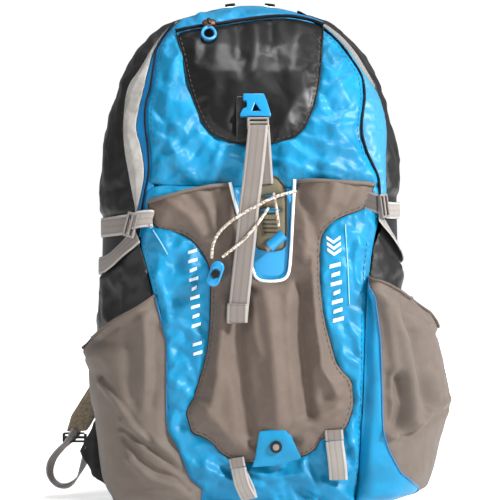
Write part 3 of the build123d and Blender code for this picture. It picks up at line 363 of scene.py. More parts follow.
def triangulate(outline, step=3.5, holes=()):
    """Dense triangles inside an outline; returns points, faces, distance to the edge."""
    pts = [Vector((p[0], p[1])) for p in outline]
    edges = [(i, (i + 1) % len(pts)) for i in range(len(pts))]
    loops = [outline]
    for h in holes:
        k = len(pts)
        pts += [Vector((p[0], p[1])) for p in h]
        edges += [(k + i, k + (i + 1) % len(h)) for i in range(len(h))]
        loops.append(h)
    xs = [p[0] for p in outline]; zs = [p[1] for p in outline]
    A = np.array([(lp[i][0], lp[i][1]) for lp in loops for i in range(len(lp))])
    B = np.array([(lp[(i + 1) % len(lp)][0], lp[(i + 1) % len(lp)][1]) for lp in loops for i in range(len(lp))])
    rows = np.arange(min(zs) + step * 0.5, max(zs), step * 0.866)
    cols = np.arange(min(xs), max(xs), step)
    gx, gz = np.meshgrid(cols, rows)
    gx = gx + (np.arange(len(rows)) % 2)[:, None] * 0.5 * step
    G = np.stack([gx.ravel(), gz.ravel()], 1)
    G = G + np.random.uniform(-0.12, 0.12, G.shape) * step
    G = G[inside_many(G, A, B)]
    if len(G):
        G = G[dist_many(G, A, B) > step * 0.55]
    pts += [Vector((float(p[0]), float(p[1]))) for p in G]
    v, e, f, *_ = geometry.delaunay_2d_cdt(pts, edges, [], 0, 1e-5)
    V = np.array([(p[0], p[1]) for p in v])
    C = np.array([V[list(t)].mean(0) for t in f])
    ok = inside_many(C, A, B)
    faces = [tuple(t) for t, k in zip(f, ok) if k]
    return V, faces, dist_many(V, A, B), (A, B)


def orient(ob, direction):
    """Face normals point along direction on average."""
    me = ob.data
    s = sum((Vector(direction).dot(p.normal) * p.area for p in me.polygons))
    if s < 0:
        me.flip_normals()


def cloth(ob, pinned, frames=18, shrink=-0.03, pressure=0.0, bend=0.4, tension=12, gravity=0.0, mass=0.15):
    sc = bpy.context.scene
    g = ob.vertex_groups.new(name="pin")
    for i, w in pinned:
        g.add([int(i)], float(w), "REPLACE")
    m = ob.modifiers.new("Cloth", "CLOTH")
    c = m.settings
    c.quality = 6
    c.mass = mass
    c.tension_stiffness = tension; c.compression_stiffness = tension; c.shear_stiffness = 4; c.bending_stiffness = bend
    c.tension_damping = 12; c.compression_damping = 12; c.shear_damping = 12; c.bending_damping = 0.8
    c.air_damping = 4
    c.vertex_group_mass = "pin"
    c.shrink_min = shrink; c.shrink_max = shrink
    c.effector_weights.gravity = gravity
    if pressure:
        c.use_pressure = True
        c.uniform_pressure_force = pressure
    m.point_cache.frame_start = 1
    m.point_cache.frame_end = frames
    before = np.array([v.co[:] for v in ob.data.vertices])
    for f in range(1, frames + 1):
        sc.frame_set(f)
    dg = bpy.context.evaluated_depsgraph_get()
    ev = ob.evaluated_get(dg)
    after = np.array([v.co[:] for v in ev.data.vertices])
    sc.frame_set(1)
    ob.modifiers.remove(m)
    if after.shape == before.shape:
        d = after - before
        n = np.linalg.norm(d, axis=1)
        d *= (np.minimum(n, 0.007) / np.maximum(n, 1e-9))[:, None]
        d[~np.isfinite(d).all(axis=1)] = 0
        for v, p in zip(ob.data.vertices, before + d):
            v.co = p
    ob.vertex_groups.clear()
    ob.data.update()


def nz(x, y, z=0.0, k=1.0):
    return noise.noise(Vector((x * k, y * k, z)))


def folds(P, lines):
    """Sum of ridges (+) and valleys (-) along polylines: (points, width, height)."""
    h = np.zeros(len(P))
    for pts, w, a in lines:
        q = np.array(pts, float)
        best = dist_many(P, q[:-1], q[1:])
        h += a * np.exp(-(best / w) ** 2)
    return h


def crumple(x, z, k=0.03, seed=0.0):
    """Creased noise: sharp ridges between shallow hollows."""
    a = noise.noise(Vector((x * k, z * k * 0.8, 3.1 + seed)))
    b = noise.noise(Vector((x * k * 2.1 + 7, z * k * 1.9, 9.4 + seed)))
    c = noise.noise(Vector((x * k * 4.1 - 3, z * k * 3.6 + (x * k) * 1.2, 5.2 + seed)))
    return (0.35 - abs(a)) * 1.6 + (0.3 - abs(b)) * 0.8 + (0.25 - abs(c)) * 0.4


def ripple(P, k, seed):
    rng = np.random.RandomState(seed)
    h = np.zeros(len(P))
    for i in range(9):
        d = rng.normal(size=3)
        d /= np.linalg.norm(d)
        h += np.sin(P @ d * k * 2 * math.pi * rng.uniform(0.5, 1.6) + rng.uniform(0, 6.28))
    return h / 4.0


def skin(name, outline, mat, body, lift=0.0, puff=0.0, reach=18.0, step=3.6, holes=(), at=front_at, in_x=True, open_edges=None,
         open_lift=0.0, lines=(), rough=0.0, slack=0.0, pressure=0.0, thickness=1.2, sub=1, frames=18, keep=False, soft=2, bend=0.4, creased=0.0, crease_k=0.03, mute=(), in_s=None):
    """A fabric panel laid on the bag. outline in (x, z) mm; puff is the height far from the seams."""
    out = [(x_to_s(p[0], p[1]) if in_x else p[0], p[1]) for p in resample(rounded(outline, soft) if soft else outline, step)]
    hl = [[(x_to_s(p[0], p[1]) if in_x else p[0], p[1]) for p in resample(h, step)] for h in holes]
    V, faces, dist, (A, B) = triangulate(out, step, hl)
    if open_edges is not None:
        mid = (A + B) / 2
        keep_seg = np.array([not open_edges(m[0], m[1]) for m in mid])
        dist2 = dist_many(V, A[keep_seg], B[keep_seg])
    else:
        dist2 = dist
    pts = []
    fl_ = folds(V, lines) if lines else np.zeros(len(V))
    quiet = np.zeros(len(V))
    for poly in mute:
        q = np.array([(x_to_s(p[0], p[1]) if in_x else p[0], p[1]) for p in poly])
        q2 = np.roll(q, -1, axis=0)
        ins = inside_many(V, q, q2)
        dd = dist_many(V, q, q2)
        quiet = np.maximum(quiet, np.where(ins, np.clip((dd + 1.0) / 3.0, 0, 1), np.clip(1 - dd / 3.0, 0, 1) * 0.34))
    for (s, z), d, fo, qt in zip(V, dist2, fl_, quiet):
        k = 1 - math.exp(-(d / reach) ** 1.3)
        h = lift + puff * k + fo * min(1, d / 8.0)
        if rough:
            h += rough * min(1, d / 7) * (nz(s, z, 1.7, 0.035) + 0.5 * nz(s, z, 5.1, 0.09))
        if creased:
            h += creased * min(1, d / 7) * crumple(s, z, crease_k)
        h = h * (1 - qt) + (lift - 1.0) * qt
        p, n = at(s, z, h)
        pts.append(p)
    ob = new_obj(name, pts, faces, mat, None, uvs=[(p[0] / 100, p[1] / 100) for p in V])
    orient(ob, (0, -1, 0.2) if at is front_at else (0, 1, 0))
    if slack:
        pins = [(i, 1.0 if (dist[i] < step * 0.4 or quiet[i] > 0.3) else max(0, 0.5 - dist[i] / 20.0)) for i in range(len(V))]
        cloth(ob, pins, frames=frames, shrink=-slack, pressure=pressure, bend=bend)
    subsurf(ob, sub)
    thick(ob, thickness)
    apply_all(ob)
    if body:
        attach(ob, body)
    return ob


def tube(name, pts, r, mat, body, sides=8, closed=False, taper=None):
    P = [Vector(p) for p in pts]
    verts = []; faces = []
    n = len(P)
    up = Vector((0.31, -0.9, 0.2)).normalized()
    for i, p in enumerate(P):
        a = P[max(i - 1, 0)] if not closed else P[(i - 1) % n]
        b = P[min(i + 1, n - 1)] if not closed else P[(i + 1) % n]
        t = (b - a).normalized()
        u = (up - t * up.dot(t)).normalized(); w = t.cross(u)
        for k in range(sides):
            an = 2 * math.pi * k / sides
            verts.append(p + (u * math.cos(an) + w * math.sin(an)) * r)
    m = n if closed else n - 1
    for i in range(m):
        for k in range(sides):
            j = (i + 1) % n
            faces.append((i * sides + k, i * sides + (k + 1) % sides, j * sides + (k + 1) % sides, j * sides + k))
    if not closed:
        faces.append(tuple(range(sides))[::-1]); faces.append(tuple((n - 1) * sides + k for k in range(sides)))
    return new_obj(name, verts, faces, mat, body)


def line_on(name, pts, r, mat, body, lift=0.5, closed=False, at=front_at, in_x=True, step=3.0, soft=2, dashes=None):
    base = resample([(p[0], p[1], 0) for p in (rounded([(q[0], q[1], 0) for q in pts], soft, closed) if soft else pts)], step, closed)
    P = [at(x_to_s(p[0], p[1]) if in_x else p[0], p[1], lift)[0] for p in base]
    if not dashes:
        return tube(name, P, r, mat, body, closed=closed)
    out = []
    for i in range(0, len(P) - dashes, dashes + 1):
        out.append(P[i:i + dashes + 1])
    verts = []; faces = []
    for seg in out:
        ob = tube("tmp", seg, r, mat, None, sides=5)
        k = len(verts)
        verts += [v.co * 1000 for v in ob.data.vertices]
        faces += [tuple(k + i for i in p.vertices) for p in ob.data.polygons]
        bpy.data.objects.remove(ob)
    return new_obj(name, verts, faces, mat, body)


def ribbon(name, path, width_dir, width, mat, body, t=1.6, step=3.0, soft=2, wave=0.0, closed=False):
    """Webbing along a path of points; width_dir a vector or list of vectors across the path."""
    raw = [Vector(p) for p in path]
    wd = [Vector(w) for w in width_dir] if isinstance(width_dir, list) else [Vector(width_dir)] * len(raw)
    both = [Vector((*p, )) for p in raw]
    lens = [0.0]
    for a, b in zip(raw, raw[1:]):
        lens.append(lens[-1] + (b - a).length)
    pts = raw; ws = wd
    for _ in range(soft):
        np_, nw = [pts[0]], [ws[0]]
        for i in range(len(pts) - 1):
            np_ += [pts[i].lerp(pts[i + 1], .25), pts[i].lerp(pts[i + 1], .75)]
            nw += [ws[i].lerp(ws[i + 1], .25), ws[i].lerp(ws[i + 1], .75)]
        np_.append(pts[-1]); nw.append(ws[-1])
        pts, ws = np_, nw
    fine_p, fine_w = [], []
    for i in range(len(pts) - 1):
        n = max(1, int((pts[i + 1] - pts[i]).length / step))
        for k in range(n):
            fine_p.append(pts[i].lerp(pts[i + 1], k / n)); fine_w.append(ws[i].lerp(ws[i + 1], k / n))
    fine_p.append(pts[-1]); fine_w.append(ws[-1])
    N = len(fine_p); C = 9
    verts = []; uvs = []; faces = []
    run = 0.0
    for layer in (1, -1):
        run = 0.0
        for i in range(N):
            a = fine_p[max(i - 1, 0)]; b = fine_p[min(i + 1, N - 1)]
            T = (b - a).normalized()
            W = (fine_w[i] - T * fine_w[i].dot(T)).normalized()
            Nn = T.cross(W)
            if i:
                run += (fine_p[i] - fine_p[i - 1]).length
            for c in range(C):
                u = c / (C - 1)
                e = 1 - 0.55 * (abs(2 * u - 1) ** 6)
                h = wave * nz(run * 0.05, u, 3.0)
                verts.append(fine_p[i] + W * (u - .5) * width + Nn * (layer * t / 2 * e + h))
                uvs.append((u, run / 100))
    off = N * C
    for i in range(N - 1):
        for c in range(C - 1):
            q = (i * C + c, i * C + c + 1, (i + 1) * C + c + 1, (i + 1) * C + c)
            faces.append(q[::-1]); faces.append(tuple(off + k for k in q))
        faces.append((i * C, (i + 1) * C, off + (i + 1) * C, off + i * C))
        faces.append((i * C + C - 1, off + i * C + C - 1, off + (i + 1) * C + C - 1, (i + 1) * C + C - 1))
    faces.append(tuple(list(range(C)) + [off + k for k in range(C)][::-1]))
    faces.append(tuple([(N - 1) * C + k for k in range(C)][::-1] + [off + (N - 1) * C + k for k in range(C)]))
    ob = new_obj(name, verts, faces, mat, body, uvs=uvs)
    bm = bmesh.new(); bm.from_mesh(ob.data); bmesh.ops.recalc_face_normals(bm, faces=bm.faces); bm.to_mesh(ob.data); bm.free()
    return ob


def plate(name, outline, t, frame_m, mat, body, holes=(), bevel=0.9, soft=0, dome=0.0):
    """Moulded plate: outline in local mm, thickness along local +z of frame_m."""
    out = rounded(outline, soft) if soft else [Vector((p[0], p[1], 0)) for p in outline]
    pts = [Vector((p[0], p[1])) for p in out]
    edges = [(i, (i + 1) % len(pts)) for i in range(len(pts))]
    loops = [out]
    for h in holes:
        k = len(pts); pts += [Vector((p[0], p[1])) for p in h]
        edges += [(k + i, k + (i + 1) % len(h)) for i in range(len(h))]
        loops.append(h)
    v, e, f, *_ = geometry.delaunay_2d_cdt(pts, edges, [], 0, 1e-6)
    A = []; B = []
    for lp in loops:
        for i in range(len(lp)):
            A.append((lp[i][0], lp[i][1])); B.append((lp[(i + 1) % len(lp)][0], lp[(i + 1) % len(lp)][1]))
    A = np.array(A); B = np.array(B)

    def inside(x, z):
        c = (A[:, 1] > z) != (B[:, 1] > z)
        return ((A[c, 0] + (z - A[c, 1]) / (B[c, 1] - A[c, 1]) * (B[c, 0] - A[c, 0])) > x).sum() % 2 == 1
    bm = bmesh.new()
    bot = [bm.verts.new((p[0], p[1], 0)) for p in v]
    for t3 in f:
        cx = sum(v[i][0] for i in t3) / 3; cz = sum(v[i][1] for i in t3) / 3
        if inside(cx, cz):
            bm.faces.new([bot[i] for i in t3])
    bmesh.ops.dissolve_limit(bm, angle_limit=0.01, verts=bm.verts, edges=bm.edges)
    r = bmesh.ops.extrude_face_region(bm, geom=bm.faces[:])
    top = [g for g in r["geom"] if isinstance(g, bmesh.types.BMVert)]
    for q in top:
        q.co.z += t
    bmesh.ops.recalc_face_normals(bm, faces=bm.faces)
    me = bpy.data.meshes.new(name)
    for q in bm.verts:
        q.co = (frame_m @ q.co) * 0.001
    bm.to_mesh(me); bm.free()
    me.materials.append(mat)
    ob = bpy.data.objects.new(name, me); coll.objects.link(ob)
    bv = ob.modifiers.new("bev", "BEVEL"); bv.width = bevel * 0.001; bv.segments = 3; bv.limit_method = "ANGLE"; bv.angle_limit = 0.6
    bv.harden_normals = False
    apply_all(ob)
    ob.data.polygons.foreach_set("use_smooth", [True] * len(ob.data.polygons))
    try:
        ob.data.set_sharp_from_angle(angle=0.7)
    except Exception:
        pass
    if body:
        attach(ob, body)
    return ob


def local_frame(x, z, lift=0.0, at=front_at, turn=0.0):
    """Matrix: local x across, local y up the bag, local z outward, at a point of the bag."""
    s = x_to_s(x, z)
    p, n = at(s, z, lift)
    up = Vector((0, 0, 1)); up = (up - n * up.dot(n)).normalized()
    ax = up.cross(n)
    m = Matrix((ax, up, n)).transposed().to_4x4()
    m.translation = p
    return m @ Matrix.Rotation(math.radians(turn), 4, "Z")


def soft_copy(node, body, mat, name=None, voxel=2.2, smooth=8, wrinkle=0.0, k=0.03, shift=0.0):
    """A soft rounded version of a plain CAD solid."""
    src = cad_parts[node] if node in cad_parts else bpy.data.objects[node]
    src = src if isinstance(src, bpy.types.Object) else bpy.data.objects[node]
    me = src.data.copy()
    ob = bpy.data.objects.new(name or ("soft_" + node), me)
    coll.objects.link(ob)
    ob.matrix_world = src.matrix_world
    me.materials.clear(); me.materials.append(mat)
    r = ob.modifiers.new("r", "REMESH"); r.mode = "VOXEL"; r.voxel_size = voxel * 0.001; r.use_smooth_shade = True
    s = ob.modifiers.new("s", "SMOOTH"); s.iterations = smooth; s.factor = 0.6
    apply_all(ob)
    if wrinkle:
        n = len(ob.data.vertices)
        co = np.empty(n * 3); ob.data.vertices.foreach_get("co", co); co = co.reshape(-1, 3)
        no = np.empty(n * 3); ob.data.vertices.foreach_get("normal", no); no = no.reshape(-1, 3)
        h = wrinkle * (ripple(co * 1000, k, 3) + 0.5 * ripple(co * 1000, k * 2.2, 8)) + shift
        co += no * (h * 0.001)[:, None]
        ob.data.vertices.foreach_set("co", co.ravel())
    ob.data.update()
    ob.data.polygons.foreach_set("use_smooth", [True] * len(ob.data.polygons))
    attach(ob, body)
    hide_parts(node)
    return ob


def tree(*obs):
    V = []; F = []
    for ob in obs:
        k = len(V)
        V += [v.co.copy() for v in ob.data.vertices]
        F += [tuple(k + i for i in p.vertices) for p in ob.data.polygons]
    return BVHTree.FromPolygons(V, F)


def drop(bv, x, z, lift=0.5):
    """Point on the front of a made piece, in mm, lifted along its normal."""
    hit, n, i, d = bv.ray_cast(Vector((x * 0.001, -0.5, z * 0.001)), Vector((0, 1, 0)))
    if hit is None:
        p, m = front_at(x_to_s(x, z), z, 2.0)
        return p
    if n.y > 0:
        n = -n
    return hit * 1000 + (n * 0.5 + Vector((0, -0.5, 0))) * lift


def decal(name, quads, bv, mat, body, lift=0.45, step=2.0):
    """Printed marks: each quad has four (x, z) corners in order."""
    verts = []; faces = []
    for q in quads:
        a, b, c, d = [Vector(p) for p in q]
        nu = max(1, int(round(max((b - a).length, (c - d).length) / step))); nv = max(1, int(round(max((d - a).length, (c - b).length) / step)))
        k = len(verts)
        for i in range(nu + 1):
            for j in range(nv + 1):
                p = a.lerp(b, i / nu).lerp(d.lerp(c, i / nu), j / nv)
                verts.append(drop(bv, p.x, p.y, lift))
        for i in range(nu):
            for j in range(nv):
                o = k + i * (nv + 1) + j
                faces.append((o, o + nv + 1, o + nv + 2, o + 1))
    ob = new_obj(name, verts, faces, mat, None)
    orient(ob, (0, -1, 0))
    thick(ob, 0.35)
    apply_all(ob)
    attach(ob, body)
    return ob


def cast_line(name, pts, r, mat, bv, body, lift=0.6, closed=False, step=2.2, soft=2):
    base = resample([(p[0], p[1], 0) for p in (rounded([(q[0], q[1], 0) for q in pts], soft, closed) if soft else pts)], step, closed)
    return tube(name, [drop(bv, p[0], p[1], lift) for p in base], r, mat, body, closed=closed, sides=7)


def stitches(name, pts, side, mat, bv, body, r=0.38, dash=3, lift=0.25):
    """A row of thread along a seam, set off to one side of it."""
    base = resample([(p[0], p[1], 0) for p in rounded([(q[0], q[1], 0) for q in pts], 2, False)], 1.2, False)
    P = []
    for i, p in enumerate(base):
        d = base[min(i + 3, len(base) - 1)] - base[max(i - 3, 0)]
        m = math.hypot(d[0], d[1]) or 1.0
        P.append((p[0] + d[1] / m * side, p[1] - d[0] / m * side))
    verts = []; faces = []
    for i in range(0, len(P) - dash, dash + 2):
        seg = [drop(bv, q[0], q[1], lift) for q in P[i:i + dash + 1]]
        if max((a - b).length for a, b in zip(seg, seg[1:])) > 4:
            continue
        k = len(verts)
        up = Vector((0.31, -0.9, 0.2)).normalized()
        for j, q in enumerate(seg):
            t = (seg[min(j + 1, dash)] - seg[max(j - 1, 0)]).normalized()
            u = (up - t * up.dot(t)).normalized(); w_ = t.cross(u)
            rr = r * (0.55 if j in (0, dash) else 1.0)
            for c in range(6):
                an = math.pi * c / 3
                verts.append(q + (u * math.cos(an) + w_ * math.sin(an)) * rr)
        for j in range(dash):
            for c in range(6):
                faces.append((k + j * 6 + c, k + j * 6 + (c + 1) % 6, k + (j + 1) * 6 + (c + 1) % 6, k + (j + 1) * 6 + c))
        faces.append(tuple(k + c for c in range(6))[::-1]); faces.append(tuple(k + dash * 6 + c for c in range(6)))
    ob = new_obj(name, verts, faces, mat, body)
    bm = bmesh.new(); bm.from_mesh(ob.data); bmesh.ops.recalc_face_normals(bm, faces=bm.faces); bm.to_mesh(ob.data); bm.free()
    return ob


def smooth01(t):
    t = max(0.0, min(1.0, t))
    return t * t * (3 - 2 * t)


def pouch(name, sign, plan, sil, hem, hem_back, start, seam, creases, z0, mats, node, rough=1.2):
    """Bulging side pocket: a plan curve from the front seam round to the rear seam, fitted row by row to the outline seen from the front."""
    pl = resample(rounded([(p[0], p[1], 0) for p in plan], 3, False), 1.5, False)
    L = [0.0]
    for a, b in zip(pl, pl[1:]):
        L.append(L[-1] + (b - a).length)
    L = np.array(L); T = L / L[-1]
    px = np.array([p.x for p in pl]); py = np.array([p.y for p in pl])
    im = int(px.argmax()); xm = px[im]; x0 = px[0]
    sz = [p[1] for p in sil]; sx = [p[0] for p in sil]
    hx = [p[0] for p in hem]; hz = [p[1] for p in hem]
    cz = [p[1] for p in start]; cx = [p[0] for p in start]

    def xs(z):
        return float(np.interp(z, cz, cx))

    def pos(t, z):
        a = float(np.interp(t, T, px)); y = float(np.interp(t, T, py))
        s0 = xs(z); w = float(np.interp(z, sz, sx))
        return s0 + (a - x0) * (w - s0) / (xm - x0), y

    def hem_z(t, z):
        if t <= T[im]:
            x, y = pos(t, z)
            return float(np.interp(x, hx, hz))
        k = (t - T[im]) / (1 - T[im])
        return hz[-1] + (hem_back - hz[-1]) * smooth01(k)

    def seam_t(z):
        target = float(np.interp(z, [p[1] for p in seam], [p[0] for p in seam]))
        lo_, hi_ = 0.0, T[im]
        for _ in range(18):
            m = (lo_ + hi_) / 2
            if pos(m, z)[0] < target:
                lo_ = m
            else:
                hi_ = m
        return lo_
    U = 86; M = 74; C = 12 if seam else 0
    P = np.zeros((U, M, 3)); D = np.zeros((U, M)); E = np.zeros((U, M))
    for i in range(U):
        for j in range(M):
            v = j / (M - 1)
            z = z0 + (205 - z0) * v
            for _ in range(5):
                if seam:
                    ts = seam_t(z)
                    t = ts * i / C if i <= C else ts + (1 - ts) * (i - C) / (U - 1 - C)
                else:
                    t = i / (U - 1)
                zh = hem_z(t, z)
                z = z0 + (zh - z0) * v
            x, y = pos(t, z)
            sa = x_to_s(xs(z), z); sb = side_limit(z, 60)
            q, n = front_at(sa + (sb - sa) * t, z, 0.8)
            w = min(smooth01((t * L[-1] + 1) / 13.0), smooth01(((1 - t) * L[-1]) / 16.0), smooth01(0.15 + v / 0.09))
            P[i, j] = (q.x + (x - q.x) * w, q.y + (y - q.y) * w, z - (1 - min(1, v / 0.05)) * 0.0)
            D[i, j] = zh - z
            E[i, j] = w
    du = np.gradient(P, axis=0); dv = np.gradient(P, axis=1)
    N = np.cross(dv, du); N /= np.maximum(np.linalg.norm(N, axis=2, keepdims=True), 1e-9)
    if (N[U // 2, M // 2] * np.array((1, 0, 0))).sum() < 0:
        N = -N
    flat = P[:, :, [0, 2]].reshape(-1, 2)
    H = folds(flat, creases).reshape(U, M)
    face = np.clip(-N[:, :, 1] * 1.4 + 0.25, 0, 1)
    H = H * face * 1.35
    R = np.array([crumple(p[0] + 0.7 * p[1], p[2], 0.02, sign * 2.0) for p in P.reshape(-1, 3)]).reshape(U, M)
    H = H + rough * R
    H = H + 1.8 * np.exp(-(D / 3.2) ** 2) - 1.6 * np.exp(-((D - 8.5) / 2.6) ** 2)
    P = P + N * (H * np.clip(E, 0, 1))[:, :, None]
    P[:, :, 0] *= sign
    verts = [tuple(p) for p in P.reshape(-1, 3)]
    faces = []; mi = []
    for i in range(U - 1):
        for j in range(M - 1):
            q = (i * M + j, i * M + j + 1, (i + 1) * M + j + 1, (i + 1) * M + j)
            faces.append(q if sign < 0 else q[::-1])
            mi.append(1 if i < C else 0)
    ob = new_obj(name, verts, faces, mats[0], None)
    orient(ob, (sign, -0.4, 0))
    if len(mats) > 1:
        ob.data.materials.append(mats[1])
        ob.data.polygons.foreach_set("material_index", mi)
    subsurf(ob, 1)
    thick(ob, 1.4)
    apply_all(ob)
    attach(ob, "pack")
    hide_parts(node)
    top = [P[i, M - 1] + N[i, M - 1] * np.array((sign, 1, 1)) * 0.4 for i in range(U)]
    tube(name + "_binding", [tuple(p) for p in top], 1.5, TAUPE_DARK, "pack", sides=8)
    edge = [tuple(P[C if seam else 0, j] + np.array((0, -0.6, 0))) for j in range(1, M)]
    return ob, edge


# ------------------------------------------------------------------ outlines (mm, x and z in the front view)
L_ZIP = [(-64, 533), (-78, 517), (-88, 502), (-96, 485), (-97, 466), (-99.5, 440), (-104, 425), (-104.5, 403), (-100, 376), (-99, 353), (-103, 334), (-106, 319), (-108, 300), (-111, 284)]
L_OUT = [(-66, 531), (-84, 515), (-95, 500), (-103, 485), (-114, 463), (-127, 446), (-129.6, 425), (-130, 398), (-128, 377), (-123, 353), (-118.5, 330), (-115, 316), (-117, 300)]
L_IN = [(-65, 532), (-81, 516), (-92, 500), (-101, 483), (-104.5, 466), (-108, 449), (-111.5, 431), (-115, 416), (-117, 398), (-111.5, 382.5), (-108, 366.6), (-106.5, 351), (-109, 335), (-112.5, 319), (-116, 300)]
R_ZIP = [(52, 530), (66, 518), (78, 508), (86, 500), (96.5, 488), (104.5, 474), (114, 459), (117, 448), (118, 431), (114.7, 414), (113, 395.6), (115.5, 383.5), (120, 370), (127, 356.6), (131, 346.6), (131.5, 330), (130, 303)]
R_OUT = [(56, 528), (72, 517), (85, 506), (96, 494), (107, 478), (119, 457), (127, 439), (132, 422.6), (135, 408), (134, 390), (133, 370), (133, 362), (136, 345.6), (135.5, 330), (133, 303)]
R_EDGE = [(60, 527.5), (78, 516), (92, 506), (103, 494), (114, 477), (125, 457), (133, 440), (138, 424), (141, 408), (141, 390), (139, 370), (139, 350), (139, 330), (137, 303)]

POCKET = [(-102, 324), (-75, 331), (-43, 338), (-20, 342), (-17, 329), (-12, 311), (-11, 305), (3, 252), (7, 246), (14, 243.5), (31, 244), (38, 249), (40, 260), (42, 295),
          (44.5, 345.5), (74, 344), (98, 342), (125, 342), (121, 330), (117, 320), (112, 315), (96, 310), (83, 303), (73, 292), (70, 279), (70, 240), (73, 216), (78, 192), (83, 173),
          (89, 157), (102, 145), (104, 124), (99, 105), (93, 94), (72, 88), (67, 78), (58, 71), (51, 69), (-3, 61), (-20, 67), (-29, 72), (-37, 82), (-47, 89), (-58, 92),
          (-61, 103), (-64, 115), (-57, 126), (-51, 144), (-43, 173), (-40, 200), (-39, 232), (-39.5, 254), (-44, 267), (-52, 279), (-62, 288), (-75, 293), (-94.5, 297), (-100, 311)]
LIDP = [(-77, 500), (-59, 505), (-32, 509), (-11.5, 513), (12.5, 517), (29, 518.5), (45, 518), (61.6, 514), (76, 508), (76, 497), (74.5, 485), (72, 454), (67.3, 429), (61.9, 412),
        (53.6, 395.5), (43.5, 387), (26.3, 382.7), (-4, 380), (-20.2, 383), (-38.5, 390.4), (-46.6, 400.6), (-55, 419), (-63.4, 445), (-69, 471), (-73, 487)]
UNDER_SL = [(-50, 8), (-47, 36), (-59, 46), (-66, 63), (-72, 79), (-81, 94), (-83, 105), (-83, 183), (-89, 207), (-95, 231), (-111, 240), (-111, 8)]
UNDER_SR = [(100, 8), (106, 30), (111, 120), (114, 200), (119, 250), (128, 252), (128, 8)]

# ------------------------------------------------------------------ bag body
lid_top = [(-64, 533), (-50, 535), (-20, 536.6), (20, 536.4), (40, 533.5), (52, 530)]
lid_out = lid_top + [p for p in R_ZIP if p[1] < 530 and p[1] > 341] + [(131, 341), (100, 339), (40, 338), (0, 338), (-60, 339), (-102.5, 341)] + [p for p in L_ZIP if 341 < p[1] < 533][::-1]
body_lines = [([(-60, 352), (-70, 400), (-78, 450)], 10, 1.6), ([(84, 360), (88, 400), (92, 440)], 10, 1.4), ([(-52, 392), (-72, 372), (-96, 360)], 4, 2.8), ([(-46, 386), (-60, 364), (-84, 348)], 4, -2.4),
              ([(-30, 378), (-36, 362), (-60, 350)], 3.5, 2.6), ([(-100, 392), (-84, 384), (-74, 370)], 4, 2.6), ([(-98, 420), (-84, 400)], 4, -2.2), ([(40, 380), (60, 366), (100, 352)], 4, 3.0),
              ([(52, 388), (74, 380), (108, 372)], 4, 2.8), ([(66, 400), (84, 398), (108, 404)], 4, 2.6), ([(72, 424), (90, 440), (104, 452)], 5, 3.6), ([(76, 460), (86, 452), (96, 468)], 4, 2.8),
              ([(20, 368), (50, 356), (90, 348)], 3.5, 2.6), ([(-70, 480), (-82, 450), (-84, 420)], 5, 2.6), ([(-20, 366), (0, 360), (20, 352)], 3.5, 2.4), ([(84, 500), (82, 480), (88, 465)], 4, 2.4),
              ([(-94, 404), (-70, 396)], 3.5, 2.2), ([(70, 436), (84, 416), (104, 420)], 4, -2.6), ([(-66, 500), (-76, 486)], 4, 2.2)]
lid_fab = skin("lid_fabric", lid_out, BLUE, None, lift=-0.6, puff=2.2, reach=12, rough=1.2, creased=4.6, crease_k=0.027, slack=0.006, mute=[LIDP], lines=body_lines, thickness=1.4, step=3.2, frames=10, bend=0.6)
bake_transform(lid_fab)
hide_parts("lid_panel")

skin("fold_filler_left", [(-108, 352), (-97, 352), (-97, 330), (-109, 330)], BLUE, "pack", lift=-1.6, puff=0.2, reach=5, step=3, soft=0, thickness=0.8)
skin("fold_filler_right", [(125, 352), (132.5, 352), (133.5, 330), (125, 330)], BLUE, "pack", lift=-1.6, puff=0.2, reach=5, step=3, soft=0, thickness=0.8)
front_out = [(-102.5, 341), (-60, 339), (0, 338), (40, 338), (100, 339), (131, 341), (131.5, 330), (130, 303), (124, 281), (119.5, 248), (118, 200), (117, 120), (112, 40), (108, 9),
             (60, 7), (0, 7), (-60, 7), (-100, 9), (-100, 40), (-98, 120), (-94, 200), (-96, 229), (-103, 258), (-111, 284), (-108, 300), (-106, 319)]
fl = [([(-96, 285), (-80, 275), (-62, 270)], 6, 1.6), ([(-88, 232), (-70, 226), (-55, 214)], 6, -1.4), ([(-80, 190), (-66, 176), (-58, 150)], 7, 1.8),
      ([(96, 290), (88, 262), (84, 230)], 8, 1.6), ([(110, 260), (98, 220), (96, 180)], 7, -1.4), ([(118, 180), (108, 150), (106, 120)], 6, 1.5),
      ([(-58, 60), (-30, 50), (0, 46)], 5, 2.2), ([(-40, 36), (0, 30), (50, 34)], 5, -1.8), ([(40, 52), (70, 44), (104, 60)], 5, 2.2), ([(100, 95), (112, 70), (118, 45)], 6, 2.2),
      ([(20, 22), (60, 18), (100, 26)], 5, 1.8), ([(-72, 90), (-64, 66), (-50, 44)], 6, 2.0), ([(60, 60), (84, 66), (100, 80)], 5, -1.6),
      ([(-44, 60), (-20, 46), (10, 40)], 3.5, 4.8), ([(0, 55), (24, 49), (50, 52)], 3.5, 4.6), ([(52, 62), (64, 42), (66, 20)], 4, 4.2), ([(74, 44), (92, 34), (104, 22)], 4, 5.0),
      ([(-46, 30), (-10, 22), (30, 26)], 3.5, -4.2), ([(100, 82), (108, 64), (110, 40)], 4, 4.4), ([(58, 30), (88, 20)], 3.5, -3.8), ([(-92, 250), (-84, 225), (-80, 200)], 4, 3.0),
      ([(-82, 205), (-64, 200), (-52, 190)], 3.5, 2.6), ([(-84, 150), (-70, 140), (-60, 130)], 3.5, 3.0), ([(-80, 120), (-66, 112)], 3.5, -2.6), ([(92, 210), (104, 190), (110, 170)], 4, 3.0),
      ([(90, 172), (106, 160)], 3.5, 2.8), ([(104, 140), (112, 120)], 3.5, 2.8), ([(104, 110), (112, 96)], 3.5, -2.4), ([(110, 290), (104, 270), (108, 240)], 4, 3.0), ([(-76, 178), (-60, 168), (-54, 150)], 3.5, -2.6)]
